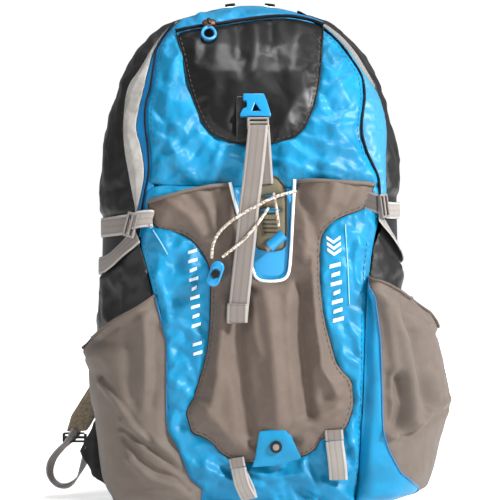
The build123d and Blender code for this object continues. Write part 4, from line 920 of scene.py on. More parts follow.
NOTCHP = [(-15, 337), (-8, 306), (4, 255), (10, 248.5), (29, 248.5), (36, 253), (38, 262), (40, 296), (42, 341)]
front_fab = skin("front_fabric", front_out, BLUE, "pack", lift=-0.6, puff=2.4, reach=10, rough=1.4, creased=5.0, crease_k=0.030, slack=0.006, mute=[POCKET, UNDER_SL, UNDER_SR, NOTCHP], lines=fl, thickness=1.4, step=3.2, frames=10, bend=0.5)
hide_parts("front_panel")
# notch panel in the lighter blue, which holds painted light against the shade of the pocket edges
skin("notch_face", NOTCHP, NOTCH_BLUE_PAINTED_LIGHT, "pack", lift=0.5, puff=0.9, reach=4, step=2.6, thickness=1.2, soft=1)

stripe_l = skin("stripe_left", L_OUT + L_IN[::-1], SILVER, "pack", lift=0.0, puff=2.6, reach=7, rough=1.0, slack=0.02, step=3.0, frames=12)
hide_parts("gusset_left")
tape_l = skin("zip_tape_left", L_IN + L_ZIP[::-1], ZIPBLUE, "pack", lift=-1.2, puff=0.4, reach=5, step=3.0, thickness=0.8)
line_on("zip_teeth_left", [(p[0] - 2.4, p[1]) for p in L_ZIP[1:]], 1.1, ZIP, "pack", lift=0.1)
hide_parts("main_zip_left")
R_WIDE = [p for p in R_OUT if p[1] > 445] + [p for p in R_EDGE if p[1] < 442]
stripe_r = skin("stripe_right", R_ZIP + R_WIDE[::-1], BLUE_LIGHT, "pack", lift=0.0, puff=2.4, reach=7, rough=1.0, slack=0.02, step=3.0, frames=12)
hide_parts("gusset_right")
edge_r = skin("edge_right", [p for p in R_OUT if p[1] > 445] + [p for p in R_EDGE if p[1] > 438][::-1], GREY_EDGE, "pack", lift=0.0, puff=1.2, reach=5, step=2.6)
tz = line_on("zip_teeth_right", [(p[0] - 0.5, p[1]) for p in R_ZIP], 1.4, ZIP, "pack", lift=0.8)
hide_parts("main_zip_right")


def around(sign, inner, z_low=9.0):
    """Side outline in (s, z): from a front seam back to the rear seam."""
    a = [(x_to_s(x, z), z) for x, z in inner]
    zs = [532, 520, 505, 480, 450, 400, 340, 280, 200, 120, 60, 20, z_low]
    b = [(sign * side_limit(z), z) for z in zs]
    return a, b


UNDER_L = [(-112, 312), (-380, 312), (-380, 246), (-190, 246), (-150, 254), (-118, 278)]
UNDER_R = [(116, 336), (380, 330), (380, 256), (190, 258), (150, 268), (124, 300)]
POUCH_L = [(-420, 2), (-92, 2), (-92, 196), (-150, 186), (-240, 166), (-420, 162)]
POUCH_R = [(92, 2), (420, 2), (420, 184), (250, 188), (160, 214), (92, 230)]
a, b = around(-1, L_OUT[:-1] + [(-112, 284), (-104, 258), (-97, 229), (-95, 200), (-99, 120), (-101, 40), (-101, 9)])
side_l = skin("side_left", a + b[::-1], BLACK, "pack", lift=-0.4, puff=2.0, reach=14, rough=1.8, creased=3.4, crease_k=0.024, mute=[UNDER_L, POUCH_L], slack=0.006, in_x=False, step=4.2, soft=0, frames=12)
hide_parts("side_panel_left")
a, b = around(1, R_EDGE + [(125, 281), (120.5, 248), (119, 200), (118, 120), (113, 40), (109, 9)])
side_r = skin("side_right", a + b[::-1], BLACK, "pack", lift=-0.4, puff=2.0, reach=14, rough=1.8, creased=3.4, crease_k=0.024, mute=[UNDER_R, POUCH_R], slack=0.006, in_x=False, step=4.2, soft=0, frames=12)
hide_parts("side_panel_right")

# rear panel, from seam to seam
bz = [9, 20, 60, 120, 200, 280, 340, 400, 450, 480, 505, 520, 532]


def back_edge(z):
    hw, yf, yb, rf, rb = section(z)
    y = min(60.0, yb - 2)
    c = (y - (yb - rb)) / rb
    return hw - rb + rb * (math.pi / 2 - math.asin(max(-1, min(1, c)))) if y > yb - rb else hw - rb + rb * math.pi / 2


bo = [(-back_edge(z), z) for z in bz] + [(back_edge(z), z) for z in bz[::-1]]
back = skin("rear_panel", bo, MESH, "pack", lift=-0.4, puff=1.6, reach=12, rough=1.0, in_x=False, at=back_at, step=5.0, soft=0)
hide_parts("back_panel")
for sx in (-1, 1):
    pts = [(sx * side_limit(z), z) for z in bz if z < 500]
    line_on("rear_seam_%s" % ("left" if sx < 0 else "right"), pts, 1.7, GREY_EDGE, "pack", lift=0.6, in_x=False, step=5)

# crown cap over the top
rings = [532.0, 534.3, 536.2, 537.4, 538.2]
verts = []; faces = []
NC = 120
for ri, z in enumerate(rings):
    hw, yf, yb, rf, rb = section(min(z, 538))
    k = 1.0 if z < 538 else 1.0
    for i in range(NC):
        an = 2 * math.pi * i / NC
        cx, cy = math.cos(an), math.sin(an)
        e = 2.6
        rx = hw; ym = (yf + yb) / 2; ry = (yb - yf) / 2
        m = (abs(cx) ** e + abs(cy) ** e) ** (-1 / e)
        verts.append((rx * cx * m * k, ym + ry * cy * m * k, z + 0.4))
c = len(verts); verts.append((0, 54, 539.0))
for ri in range(len(rings) - 1):
    for i in range(NC):
        faces.append((ri * NC + i, ri * NC + (i + 1) % NC, (ri + 1) * NC + (i + 1) % NC, (ri + 1) * NC + i))
for i in range(NC):
    faces.append(((len(rings) - 1) * NC + i, (len(rings) - 1) * NC + (i + 1) % NC, c))
crown = new_obj("crown_cap", verts, faces, BLUE, "pack")
orient(crown, (0, 0, 1)); subsurf(crown, 1); thick(crown, 1.2); apply_all(crown)
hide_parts("top_panel")

# base
base_pts = []
for i in range(160):
    pass
hw, yf, yb, rf, rb = section(3)
ring = []
for cx, cy, r, a0 in ((hw - rf, yf + rf, rf, -90), (hw - rb, yb - rb, rb, 0), (-hw + rb, yb - rb, rb, 90), (-hw + rf, yf + rf, rf, 180)):
    for i in range(24):
        an = math.radians(a0 + 90 * i / 23)
        ring.append((cx + r * math.cos(an), cy + r * math.sin(an)))
verts = []; faces = []
prof = [(0, -7.0), (0.6, -2.5), (4, 0.0), (8, 1.4), (11.5, 1.8)]
for z, g in prof:
    for x, y in ring:
        l = math.hypot(x, y)
        hx = section(z)[0] / section(3)[0]
        verts.append((x * hx + x / l * g, y * hx + y / l * g, max(z, 0.1)))
n = len(ring)
for k in range(len(prof) - 1):
    for i in range(n):
        faces.append((k * n + i, k * n + (i + 1) % n, (k + 1) * n + (i + 1) % n, (k + 1) * n + i))
faces.append(tuple(range(n))[::-1])
base = new_obj("base_fabric", verts, faces, BLUE, "pack")
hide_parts("base_panel")

# ------------------------------------------------------------------ stretch pocket on the front

def hem(s, z):
    return (z > 322 and s < -19 and z > 324 + (s + 102) * 0.2) or (z > 340 and s > 43)


pk_lines = [([(14, 240), (20, 200), (25, 150), (28, 108)], 10, 9.2), ([(-8, 236), (-12, 190), (-8, 140), (0, 96)], 8, -9.6), ([(50, 240), (50, 190), (54, 150), (58, 112)], 7, -10.4),
            ([(64, 262), (67, 205), (72, 160), (86, 134)], 5.5, 8.6), ([(-26, 220), (-29, 190), (-33, 150), (-40, 118)], 7, 7.4), ([(-52, 122), (-36, 108), (-20, 90)], 5, 3.9),
            ([(40, 96), (62, 108), (86, 118)], 5, 3.9), ([(46, 334), (58, 314), (66, 288)], 6, -4.7), ([(-40, 334), (-30, 312), (-26, 288)], 6, -5.2), ([(84, 338), (80, 322), (76, 308)], 5, 3.4),
            ([(-14, 300), (-20, 280), (-18, 250)], 5, 4.7), ([(-84, 324), (-62, 308), (-50, 290)], 5, 3.6), ([(72, 128), (80, 136), (96, 138)], 5, -3.4), ([(0, 84), (20, 78), (44, 84)], 5, -3.9),
            ([(-60, 328), (-46, 310), (-40, 290)], 5, -3.9), ([(104, 336), (96, 322), (88, 314)], 5, -3.4), ([(2, 226), (4, 196), (10, 170)], 4, 3.1), ([(36, 232), (38, 200), (40, 160), (44, 120)], 5, 2.6)]
pocket = skin("stretch_pocket", POCKET, TAUPE, "pack", lift=1.6, puff=10.5, reach=12, open_edges=hem, rough=1.2, lines=pk_lines, slack=0.008, pressure=0.0, frames=12, thickness=1.3, bend=0.3, soft=1)
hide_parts("front_pocket")


def at_edge(pts, lift):
    return [front_at(x_to_s(p[0], p[1]), p[1], lift)[0] for p in resample([(q[0], q[1], 0) for q in rounded([(w[0], w[1], 0) for w in pts], 2, False)], 3, False)]


notch = [(-20, 341), (-17, 329), (-12, 311), (-11, 305), (3, 252), (7, 246), (14, 243.5), (31, 244), (38, 249), (40, 260), (42, 295), (44.5, 344)]
lift_n = []
P = resample([(q[0], q[1], 0) for q in rounded([(w[0], w[1], 0) for w in notch], 2, False)], 2.5, False)
tp = []
for p in P:
    h = 3.4 + 7.0 * max(0, min(1, (p[1] - 318) / 24))
    tp.append(front_at(p[0], p[1], h)[0])
pipe = tube("notch_piping", tp, 1.6, PIPING, "pack", sides=10)
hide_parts("pocket_piping")
edge_tp = tube("notch_binding", [q + Vector((0, -0.3, 0)) for q in tp], 1.0, TAUPE, "pack")
hem_l = [(-102, 324), (-75, 331), (-43, 338), (-21, 341.5)]
hem_r = [(45, 345), (74, 344), (98, 342), (124, 342)]
for nm, hp in (("hem_left", hem_l), ("hem_right", hem_r)):
    Q = resample([(q[0], q[1], 0) for q in rounded([(w[0], w[1], 0) for w in hp], 2, False)], 3, False)
    pts = []
    for q in Q:
        dd = min(abs(q[0] + 102), abs(q[0] + 20)) if q[0] < 0 else min(abs(q[0] - 45), abs(q[0] - 125))
        pts.append(front_at(x_to_s(q[0], q[1]), q[1] - 1.5, 1.8 + 10.3 * (1 - math.exp(-(dd / 12) ** 1.3)))[0])
    tube(nm, pts, 2.0, TAUPE_SIDE, "pack", sides=10)
# dark seam round the sewn edge
seam_pts = POCKET[17:] + [POCKET[0]]
line_on("pocket_seam", seam_pts, 0.8, BLACK, "pack", lift=1.2, soft=1)

# ------------------------------------------------------------------ side pockets
SR_PLAN = [(116, -97), (135, -100), (160, -91), (187, -65), (205, -31), (213, 0), (211, 25), (200, 48), (182, 59), (160, 62)]
SR_SIL = [(183, 15), (194, 46), (201, 77), (208, 99), (212, 108), (211.5, 118), (207, 142), (201, 167), (196, 186), (196, 196), (187, 211), (172, 221)]
SR_HEM = [(116, 249), (121, 247), (137, 241), (151, 233), (172, 220), (187, 207), (195, 194)]
SR_SEAM = [(178, 14), (172, 33), (151, 51), (139, 74), (133, 90), (132, 130), (130, 186), (126, 217), (121, 247)]
sr_creases = [([(125, 236), (143, 215), (153, 180), (160, 140), (165, 104)], 7.5, 6.5), ([(133, 220), (140, 188), (145, 155), (138, 130)], 4.0, 3.2),
              ([(156, 212), (168, 190), (174, 160), (181, 130), (188, 114)], 7.5, -7.5), ([(150, 146), (155, 122), (150, 98)], 6.5, -9.5), ([(137, 150), (138, 105)], 5.0, -4.5), ([(186, 196), (194, 160), (200, 130)], 7, 3.0),
              ([(140, 90), (149, 93), (170, 101), (190, 111), (206, 119)], 4.0, 4.2), ([(146, 83), (172, 93), (192, 103), (208, 109)], 3.0, -3.8), ([(184, 150), (194, 128)], 8, 2.5),
              ([(134, 90), (146, 87)], 3.0, 3.0), ([(150, 40), (176, 52)], 9, 1.6)]
sp_r, edge_pr = pouch("pouch_right", 1, SR_PLAN, SR_SIL, SR_HEM, 205, [(103, 14), (108, 40), (113, 120), (115.5, 200), (118, 250)], SR_SEAM, sr_creases, 14.0, [TAUPE_SIDE, BLUE], "side_pocket_right")
tube("pouch_right_piping", edge_pr, 0.9, SEAMBLUE, "pack", sides=6)
SL_PLAN = [(84, -100), (110, -103), (135, -97), (158, -76), (170, -42), (175, 0), (172, 35), (165, 52), (156, 60)]
SL_SIL = [(146, 15), (155, 36), (159, 66), (162, 88), (164, 106), (167, 118), (169, 136), (170, 150), (173, 157), (175.5, 166), (174, 173), (164, 181)]
SL_HEM = [(84, 233), (96, 229), (113, 217), (133, 206), (146, 197), (164, 181), (174, 171)]
SL_START = [(50, 14), (47, 36), (59, 46), (66, 63), (72, 79), (81, 94), (83, 105), (83, 183), (89, 207), (95, 231)]
sl_creases = [([(152, 148), (138, 135), (125, 117), (112, 100), (98, 85)], 2.6, -3.0), ([(150, 141), (135, 127), (121, 109), (108, 93)], 4.0, 2.6),
              ([(130, 97), (110, 85), (95, 75), (80, 63), (65, 50), (55, 40)], 2.8, -3.6), ([(128, 103), (108, 92), (92, 82), (76, 70), (62, 58)], 4.0, 2.4),
              ([(128, 87), (115, 73), (110, 65), (92, 53), (72, 47), (60, 35)], 2.8, -3.4), ([(120, 66), (98, 46), (74, 40)], 4.5, 2.6),
              ([(105, 208), (102, 180), (103, 140)], 7, 4.0), ([(97, 198), (96, 155), (98, 120)], 5, -2.2), ([(122, 196), (120, 150), (116, 120)], 8, -3.0), ([(150, 172), (140, 160)], 7, 1.4)]
sp_l, edge_pl = pouch("pouch_left", -1, SL_PLAN, SL_SIL, SL_HEM, 178, SL_START, None, sl_creases, 14.0, [TAUPE_SIDE], "side_pocket_left", rough=0.9)
tube("pouch_left_piping", edge_pl, 0.8, SEAMBLUE, "pack", sides=6)

# ------------------------------------------------------------------ lid pocket
lp_lines = [([(-30, 500), (-33, 470), (-41, 440), (-38, 404)], 12, 2.6), ([(4, 512), (8, 484), (4, 452)], 8, 2.4), ([(20, 514), (22, 488)], 6, -1.8), ([(52, 510), (47, 474), (53, 432)], 9, 2.2),
            ([(-56, 488), (-58, 462)], 7, 1.8), ([(-12, 440), (-22, 412), (-24, 392)], 8, 1.6), ([(34, 400), (44, 426), (40, 450)], 7, 1.6), ([(-14, 500), (-12, 470)], 6, -1.6)]
lidp = skin("lid_pocket_panel", LIDP, LID, "lid", lift=2.0, puff=4.8, reach=16, rough=0.7, lines=lp_lines, slack=0.008, frames=10, thickness=1.4, soft=1, step=3.0, bend=0.8)
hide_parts("lid_pocket")
line_on("lid_pocket_seam", LIDP[8:] + [LIDP[0]], 0.7, BLACK, "lid", lift=2.6, soft=1)
zl = line_on("lid_zip_coil", LIDP[:9], 1.9, ZIP, "lid", lift=5.2, soft=2)
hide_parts("lid_zip_track")
line_on("lid_zip_tape", [(p[0], p[1] + 4.5) for p in LIDP[:9]], 1.6, ZIPBLUE, "lid", lift=2.6, soft=2)
# slider and ring pull on the lid zip
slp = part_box("lid_zip_slider")
sc0 = (Vector(slp[0]) + Vector(slp[1])) * 500
fm = local_frame(sc0.x, sc0.z - 11, 8.0, turn=8)
plate("lid_slider_body", [(-6, -5), (6, -5), (7.5, 2), (4, 5.5), (-4, 5.5), (-7.5, 2)], 3.6, fm, BRONZE, "lid_slider", bevel=1.2)
sl = plate("lid_slider_bridge", [(-1.8, -5), (1.8, -5), (1.8, 5), (-1.8, 5)], 2.2, fm @ Matrix.Translation((0, 0, 3.4)), PBLACK, "lid_slider", bevel=0.9)
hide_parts("lid_zip_slider")
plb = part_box("lid_zip_pull")
pc = (Vector(plb[0]) + Vector(plb[1])) * 500
fm = local_frame(pc.x, pc.z - 9, 9.4, turn=4)
ring_out = [(8.3 * math.sin(t) * (1 - 0.12 * math.cos(t)), 12.5 * math.cos(t)) for t in [2 * math.pi * i / 40 for i in range(40)]]
ring_in = [(p[0] * 0.62, p[1] * 0.66 - 0.6) for p in ring_out]
pull = plate("lid_pull_ring", ring_out[::-1], 2.6, fm, PBLUE, "lid_pull", holes=[ring_in[::-1]], bevel=1.0)
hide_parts("lid_zip_pull")
ribbon("lid_pull_tab", [front_at(sc0.x, sc0.z - 14, 11.4)[0], front_at(sc0.x + 0.3, sc0.z - 19, 11.6)[0], front_at(pc.x + 0.2, pc.z + 2, 11.4)[0]], (1, 0, 0), 5.0, WEB_BLACK, "lid_pull", t=1.2)

# ------------------------------------------------------------------ hook closure and strap
hl = ribbon("hook_loop_patch", [front_at(-8, 427, 9.2)[0], front_at(-8, 405, 9.6)[0], front_at(-8, 383, 8.8)[0]], (1, 0, 0), 12, WEB_BLACK, "lid")
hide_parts("hook_loop")
fm = local_frame(5.5, 416, 11.6)
hb = plate("hook_body", [(-12.5, 12), (8.5, 12), (11.5, 4), (15.5, -10.5), (15.5, -12.6), (-15.5, -12.6), (-15.5, -10), (-12.5, -4), (-8.9, -3), (-8.9, 4), (-12.5, 5)], 5.4, fm, PBLUE, "hook",
           holes=[[(-3.5, -7), (5.5, -7), (-0.3, 2)]], bevel=1.1)
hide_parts("hook_buckle")
fm = local_frame(8, 397.3, 11.8)
ll = plate("ladder_body", [(-11, -5.6), (11, -5.6), (11, 5.6), (-11, 5.6)], 6.0, fm, PGREY, "hook", holes=[[(-8.6, -3.8), (8.6, -3.8), (8.6, -1.4), (-8.6, -1.4)], [(-8.6, 1.2), (8.6, 1.2), (8.6, 3.4), (-8.6, 3.4)]], bevel=0.9)
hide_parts("ladder_lock")
ls = ribbon("lash_webbing", [front_at(14, 340, 5)[0], front_at(13, 354, 5.5)[0], front_at(12, 368, 7.5)[0], front_at(11, 384, 10.2)[0], front_at(10, 396, 12.5)[0]], (1, 0, 0), 19, WEB, None)
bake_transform(ls)
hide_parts("lash_strap")
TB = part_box("strap_tail")
tail_path = [(8, -96.0, 399.5), (7.6, -102, 392), (5.5, -107, 372), (3.2, -112.6, 350), (1.0, -115.5, 332), (-1, -117, 318), (-4, -117.4, 285), (-9.5, -117.2, 235), (-12.2, -117, 208), (-12.6, -118.0, 203.5), (-12.8, -120.2, 204), (-12.2, -120.4, 222)]
tl = ribbon("strap_tail_webbing", tail_path, (1, 0, 0.07), 20, WEB, "tail", wave=0.5)
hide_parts("strap_tail")
ribbon("strap_tail_end", [(-12.4, -121.8, 220), (-12.8, -122.0, 204)], (1, 0, 0.04), 20.5, WEB, "tail", t=1.0)

# olive lash patch
OP = [(8, 349), (26, 349), (33, 341), (36.5, 335), (36.5, 280), (31, 274.5), (10, 274.5), (5.5, 280), (5.5, 336), (8, 341)]
s1 = [(22 + 10.5 * math.cos(t) + (0), 328.5 + 1.9 * math.sin(t)) for t in [2 * math.pi * i / 24 for i in range(24)]]
s2 = [(20.5 + 11 * math.cos(t), 314.5 + 2.8 * math.sin(t)) for t in [2 * math.pi * i / 24 for i in range(24)]]
op = skin("lash_patch_face", OP, OLIVE, "pack", lift=1.8, puff=1.6, reach=3, step=2.0, holes=[s1, s2], thickness=1.6, soft=1)
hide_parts("lash_patch")
line_on("patch_rim", OP, 0.8, OLIVE_DK, "pack", lift=2.6, closed=True, soft=1)
line_on("patch_slot_rim_a", s1, 0.7, OLIVE_DK, "pack", lift=3.6, closed=True, soft=0, step=1.5)
line_on("patch_slot_rim_b", s2, 0.7, OLIVE_DK, "pack", lift=3.6, closed=True, soft=0, step=1.5)
for i in range(4):
    line_on("patch_rib_%d" % i, [(12 + i * 0.6, 305 - i * 4.2), (29 - i * 0.6, 305 - i * 4.2)], 0.7, OLIVE_DK, "pack", lift=3.5, soft=0)

# snap tab
st = skin("snap_tab_face", [(9, 96), (37, 100.5), (51, 70), (30, 63), (2, 61), (5, 71)], BLUE, "pack", lift=14.6, puff=1.6, reach=3, step=2.2, thickness=1.6, soft=0)
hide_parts("snap_tab")
fm = local_frame(25.7, 82, 16.8)
plate("snap_cap", [(6 * math.cos(2 * math.pi * i / 32), 6 * math.sin(2 * math.pi * i / 32)) for i in range(32)], 2.4, fm, PBLACK, "pack", bevel=1.1)
plate("snap_dimple", [(3.2 * math.cos(2 * math.pi * i / 24), 3.2 * math.sin(2 * math.pi * i / 24)) for i in range(24)], 0.7, fm @ Matrix.Translation((0, 0, 2.3)), PGREY, "pack", bevel=0.3)

# ------------------------------------------------------------------ compression straps
def on_skin(pts, lift):
    return [front_at(x_to_s(x, z) if abs(x) < 500 else x, z, lift)[0] for x, z in pts]


def girth(pts, lift):
    return [front_at(s, z, lift)[0] for s, z in pts]


sl300 = x_to_s(-120, 298)
cl = ribbon("strap_left_level", girth([(sl300, 301), (sl300 - 20, 299), (sl300 - 45, 298), (sl300 - 90, 298), (sl300 - 130, 298)], 2.2), [(0, 0, 1)] * 5, 20, WEB, "pack")
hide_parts("compression_strap_left")
s0 = x_to_s(-112, 286)
ribbon("strap_left_leg", girth([(s0, 289), (s0 - 18, 275), (s0 - 40, 261), (s0 - 80, 258), (s0 - 130, 258)], 3.0), [(0.45, 0, 1), (0.5, 0, 1), (0.2, 0, 1), (0, 0, 1), (0, 0, 1)], 18, WEB, "pack")
fm = local_frame(-116, 299.5, 5.0, turn=-14)
cbl = plate("buckle_left_body", [(-6.5, -12.5), (6.5, -12.5), (6.5, 12.5), (-6.5, 12.5)], 4.2, fm, PGREY, "tilt_left", holes=[[(-4.4, -10), (-1.4, -10), (-1.4, 10), (-4.4, 10)], [(1.4, -10), (4.4, -10), (4.4, 10), (1.4, 10)]], bevel=1.0)
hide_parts("compression_buckle_left")
ribbon("strap_left_fold", [front_at(x_to_s(-116, 303), 303, 6.0)[0], front_at(x_to_s(-108, 305), 305, 9)[0], front_at(x_to_s(-99, 306), 306, 8)[0], front_at(x_to_s(-96, 306), 306, 5.5)[0], front_at(x_to_s(-101, 304), 304, 4.0)[0]], (0.25, 0, 1), 17, WEB_LIGHT, "pack")
sr = x_to_s(138, 318)
cr_ = ribbon("strap_right_level", girth([(x_to_s(134, 318), 316), (sr + 6, 315), (sr + 40, 316), (sr + 90, 318), (sr + 120, 318)], 2.4), [(0, 0, 1)] * 5, 17, WEB_LIGHT, "pack")
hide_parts("compression_strap_right")
ribbon("strap_right_leg", girth([(x_to_s(128, 309), 309), (x_to_s(140, 294), 294), (x_to_s(152, 276), 276), (x_to_s(154, 270) + 40, 268), (x_to_s(154, 270) + 100, 268)], 3.2), [(-0.5, 0, 1)] * 5, 15, WEB_LIGHT, "pack")
ribbon("strap_right_anchor", girth([(x_to_s(115, 324), 325), (x_to_s(124, 323), 322), (x_to_s(131, 321), 320)], 3.0), (0, 0, 1), 19, WEB_DARK, "pack")
fm = local_frame(130.5, 319, 5.0, turn=6)
cbr = plate("buckle_right_body", [(-5.5, -12), (5.5, -12), (5.5, 12), (-5.5, 12)], 4.2, fm, PGREY, "tilt_right", holes=[[(-3.8, -10), (-1.2, -10), (-1.2, 10), (-3.8, 10)], [(1.2, -10), (3.8, -10), (3.8, 10), (1.2, 10)]], bevel=1.0)
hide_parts("compression_buckle_right")

# ------------------------------------------------------------------ tool loops
tl1 = ribbon("tool_loop_low", [(-11.5, -104.6, 58), (-10, -108, 50), (-7, -110, 40), (-3, -109.6, 32), (0, -107, 27.6), (0, -103.6, 28.5), (-3, -102.4, 38), (-8, -102.6, 48), (-11, -102.9, 57)], [(1, 0, 0.25)] * 9, 15, WEB_LIGHT, "tool_left", t=1.3)
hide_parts("tool_loop_left")
ribbon("tool_loop_low_root", [(-13.6, -102.4, 68), (-12.6, -104.2, 62), (-11.8, -104.6, 58.6)], (1, 0, 0.25), 15.4, WEB, "pack", t=1.6)
tl2 = ribbon("tool_loop_high", [(84, -104.8, 85), (85, -109, 76), (86.5, -111.5, 64), (87.5, -110.5, 53), (88, -107, 46.4), (88, -103.4, 48), (87, -102.0, 60), (85.5, -102.2, 74), (84, -102.8, 84)], [(1, 0, 0)] * 9, 18, WEB_LIGHT, "tool_right", t=1.3)
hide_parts("tool_loop_right")
ribbon("tool_loop_high_root", [(83.4, -103.4, 96), (83.6, -104.6, 91), (84, -104.8, 85.8)], (1, 0, 0), 18.4, WEB, "pack", t=1.6)

# ------------------------------------------------------------------ prints, generic marks only
bf = tree(front_fab)
quads = []
for i, wdt in enumerate((9, 9, 7, 9, 5, 9, 9, 7, 9, 0, 9, 9)):
    if wdt:
        z = 272 - i * 9.2; x = -57.5 + i * 0.5
        quads.append([(x - wdt / 2, z - 1.2), (x + wdt / 2, z + 1.4), (x + wdt / 2, z + 4.6), (x - wdt / 2, z + 2.0)])
decal("print_dashes_left", quads, bf, PRINT, "pack")
quads = []
for i in range(3):
    z = 286 - i * 6.0; x = 83 + i * 0.4
    quads += [[(x - 7, z), (x, z - 5), (x, z - 1.8), (x - 7, z + 3.2)], [(x, z - 5), (x + 7, z), (x + 7, z + 3.2), (x, z - 1.8)]]
for i, wdt in enumerate((11, 9, 11, 7, 11, 9, 11)):
    z = 258 - i * 9.0; x = 84.5 + i * 0.55
    quads.append([(x - wdt / 2, z - 1.6), (x + wdt / 2, z + 1.2), (x + wdt / 2, z + 5.0), (x - wdt / 2, z + 2.2)])
decal("print_dashes_right", quads, bf, PRINT, "pack")
cast_line("print_line_left", [(-97, 295), (-90, 285), (-82, 271)], 0.6, EDGEBLUE, bf, "pack")
cast_line("print_line_right", [(95, 301), (97, 262), (99, 220)], 0.6, EDGEBLUE, bf, "pack")
bl = tree(lidp)

bl2 = tree(lid_fab)
stitches("stitch_lid_left", [p for p in L_ZIP if 360 < p[1] < 512], -4.2, STITCH, bl2, "lid")
stitches("stitch_lid_right", [p for p in R_ZIP if 360 < p[1] < 512], 4.2, STITCH, bl2, "lid")
stitches("stitch_lid_pocket", LIDP[9:] + [LIDP[0]], 3.2, STITCHG, bl, "lid")
bp_ = tree(pocket)
stitches("stitch_pocket", POCKET[18:], 3.0, STITCHG, bp_, "pack")
stitches("stitch_front_left", [(-107, 300), (-110, 284), (-102, 258), (-95, 229), (-93, 200)], -3.0, STITCH, bf, "pack")
stitches("stitch_front_right", [(120, 282), (116, 248), (114.5, 200), (113.5, 120), (109, 40)], 3.0, STITCH, bf, "pack")

# ------------------------------------------------------------------ back, straps and belts
soft_copy("back_pad_left", "pack", PAD, voxel=2.6, smooth=8, wrinkle=0.8, k=0.06)
soft_copy("back_pad_right", "pack", PAD, voxel=2.6, smooth=8, wrinkle=0.8, k=0.06)
wl = soft_copy("wing_left", "pack", BLACK, voxel=1.3, smooth=3, wrinkle=0.9, k=0.05)
wr = soft_copy("wing_right", "pack", BLACK, voxel=1.3, smooth=3, wrinkle=0.9, k=0.05)
ssl = soft_copy("shoulder_strap_left", "strap_left", STRAPMESH, voxel=2.2, smooth=12, wrinkle=0.35, k=0.018)
ssr = soft_copy("shoulder_strap_right", "strap_right", STRAPMESH, voxel=2.2, smooth=12, wrinkle=0.35, k=0.018)
soft_copy("haul_loop", "haul", WEB, voxel=0.8, smooth=2)
lw = ribbon("lower_webbing_loop", [(-193, 103, 74), (-201, 103, 62), (-213, 104, 52), (-223, 105, 38), (-224, 106, 22), (-214, 106, 11), (-200, 105, 12), (-190, 102, 24), (-182, 98, 44), (-174, 96, 58)],
            [(0.6, 0.5, 0.3), (0.6, 0.7, 0.2), (0.5, 0.8, 0.1), (0.4, 0.9, 0.1), (0.2, 1, 0), (0.1, 1, 0.1), (0, 1, 0.2), (0.2, 0.9, 0.3), (0.5, 0.6, 0.3), (0.7, 0.4, 0.2)], 20, WEB_LIGHT, None)
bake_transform(lw)
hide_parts("lower_webbing_left")
lr = ribbon("lower_webbing_flat", [(74, 102, 108), (96, 102, 92), (124, 101.5, 74), (150, 100.5, 60), (166, 98, 52)], (0.3, 0, 1), 19, WEB, None)
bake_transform(lr)
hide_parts("lower_webbing_right")
for n, mname in (("sternum_left", PBLACK), ("sternum_right", PBLACK), ("belt_left", PBLACK), ("belt_right", PBLACK), ("strap_lock_left", PBLACK), ("strap_lock_right", PBLACK),
                 ("cord_lock_right", PBLUE), ("lock_button_left", PBLACK), ("lock_button_right", PGREY), ("main_slider_left", PBLACK), ("main_slider_right", PBLACK),
                 ("main_zip_crown", ZIP), ("frame_sheet", SHEETM), ("hydration_sleeve", LINER)):
    ob = bpy.data.objects.get(n)
    if ob is not None:
        for i in range(max(1, len(ob.material_slots))):
            if ob.material_slots:
                ob.material_slots[i].link = "OBJECT"
                ob.material_slots[i].material = mname

# moulded body of the left cord lock
c70, s70 = math.cos(math.radians(70)), math.sin(math.radians(70))
ax_ = Vector((c70, 0, s70)); az_ = Vector((0, -1, 0)); ay_ = az_.cross(ax_)
fm = Matrix((ax_, ay_, az_)).transposed().to_4x4(); fm.translation = Vector((-34, -113.8, 251.5))
slot_ = [(6.5 + 6.5 * math.cos(math.radians(t)), 6.5 * math.sin(math.radians(t))) for t in range(-90, 91, 12)] + [(-6.5 + 6.5 * math.cos(math.radians(t)), 6.5 * math.sin(math.radians(t))) for t in range(90, 271, 12)]
cll = plate("cord_lock_left_body", slot_, 10.8, fm, PBLUE, "pack", holes=[[(4.2 * math.cos(2 * math.pi * i / 28), 4.2 * math.sin(2 * math.pi * i / 28)) for i in range(28)]], bevel=1.8)
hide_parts("cord_lock_left")

# ------------------------------------------------------------------ shock cord
def cord(name, node, pts, ex, with_len=None):
    cu = bpy.data.curves.new(name, "CURVE"); cu.dimensions = "3D"
    sp = cu.splines.new("NURBS"); sp.points.add(len(pts) - 1)
    for q, p in zip(sp.points, pts):
        q.co = (*(Vector(p) * 0.001), 1)
    sp.order_u = 3; sp.use_endpoint_u = True; sp.resolution_u = 12
    cu.bevel_depth = 0.0015; cu.bevel_resolution = 4; cu.use_fill_caps = True
    cu.materials.append(CORD)
    ob = bpy.data.objects.new(name, cu); coll.objects.link(ob)
    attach(ob, "pack"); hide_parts(node)
    return ob


CORD_A = [(46, -110.0, 333.5), (25, -112.5, 328.5), (8, -120.4, 319), (-13, -120.6, 308), (-30, -119.4, 294), (-38, -119.2, 279), (-37.6, -119.5, 266.5)]
CORD_B = [(23.5, -99.6, 331.5), (25.5, -104.5, 322), (27.2, -106.5, 310), (28.5, -107.5, 298.5)]
CORD_C = [(18.0, -100.0, 316.5), (16.5, -113, 314), (10, -120.4, 304), (-3, -120.8, 288), (-16, -120.2, 276.5), (-27.5, -119.8, 268.0)]
cord("cord_upper", "shock_cord_a", CORD_A, None)
cord("cord_short", "shock_cord_b", CORD_B, None)
cord("cord_lower", "shock_cord_c", CORD_C, None)

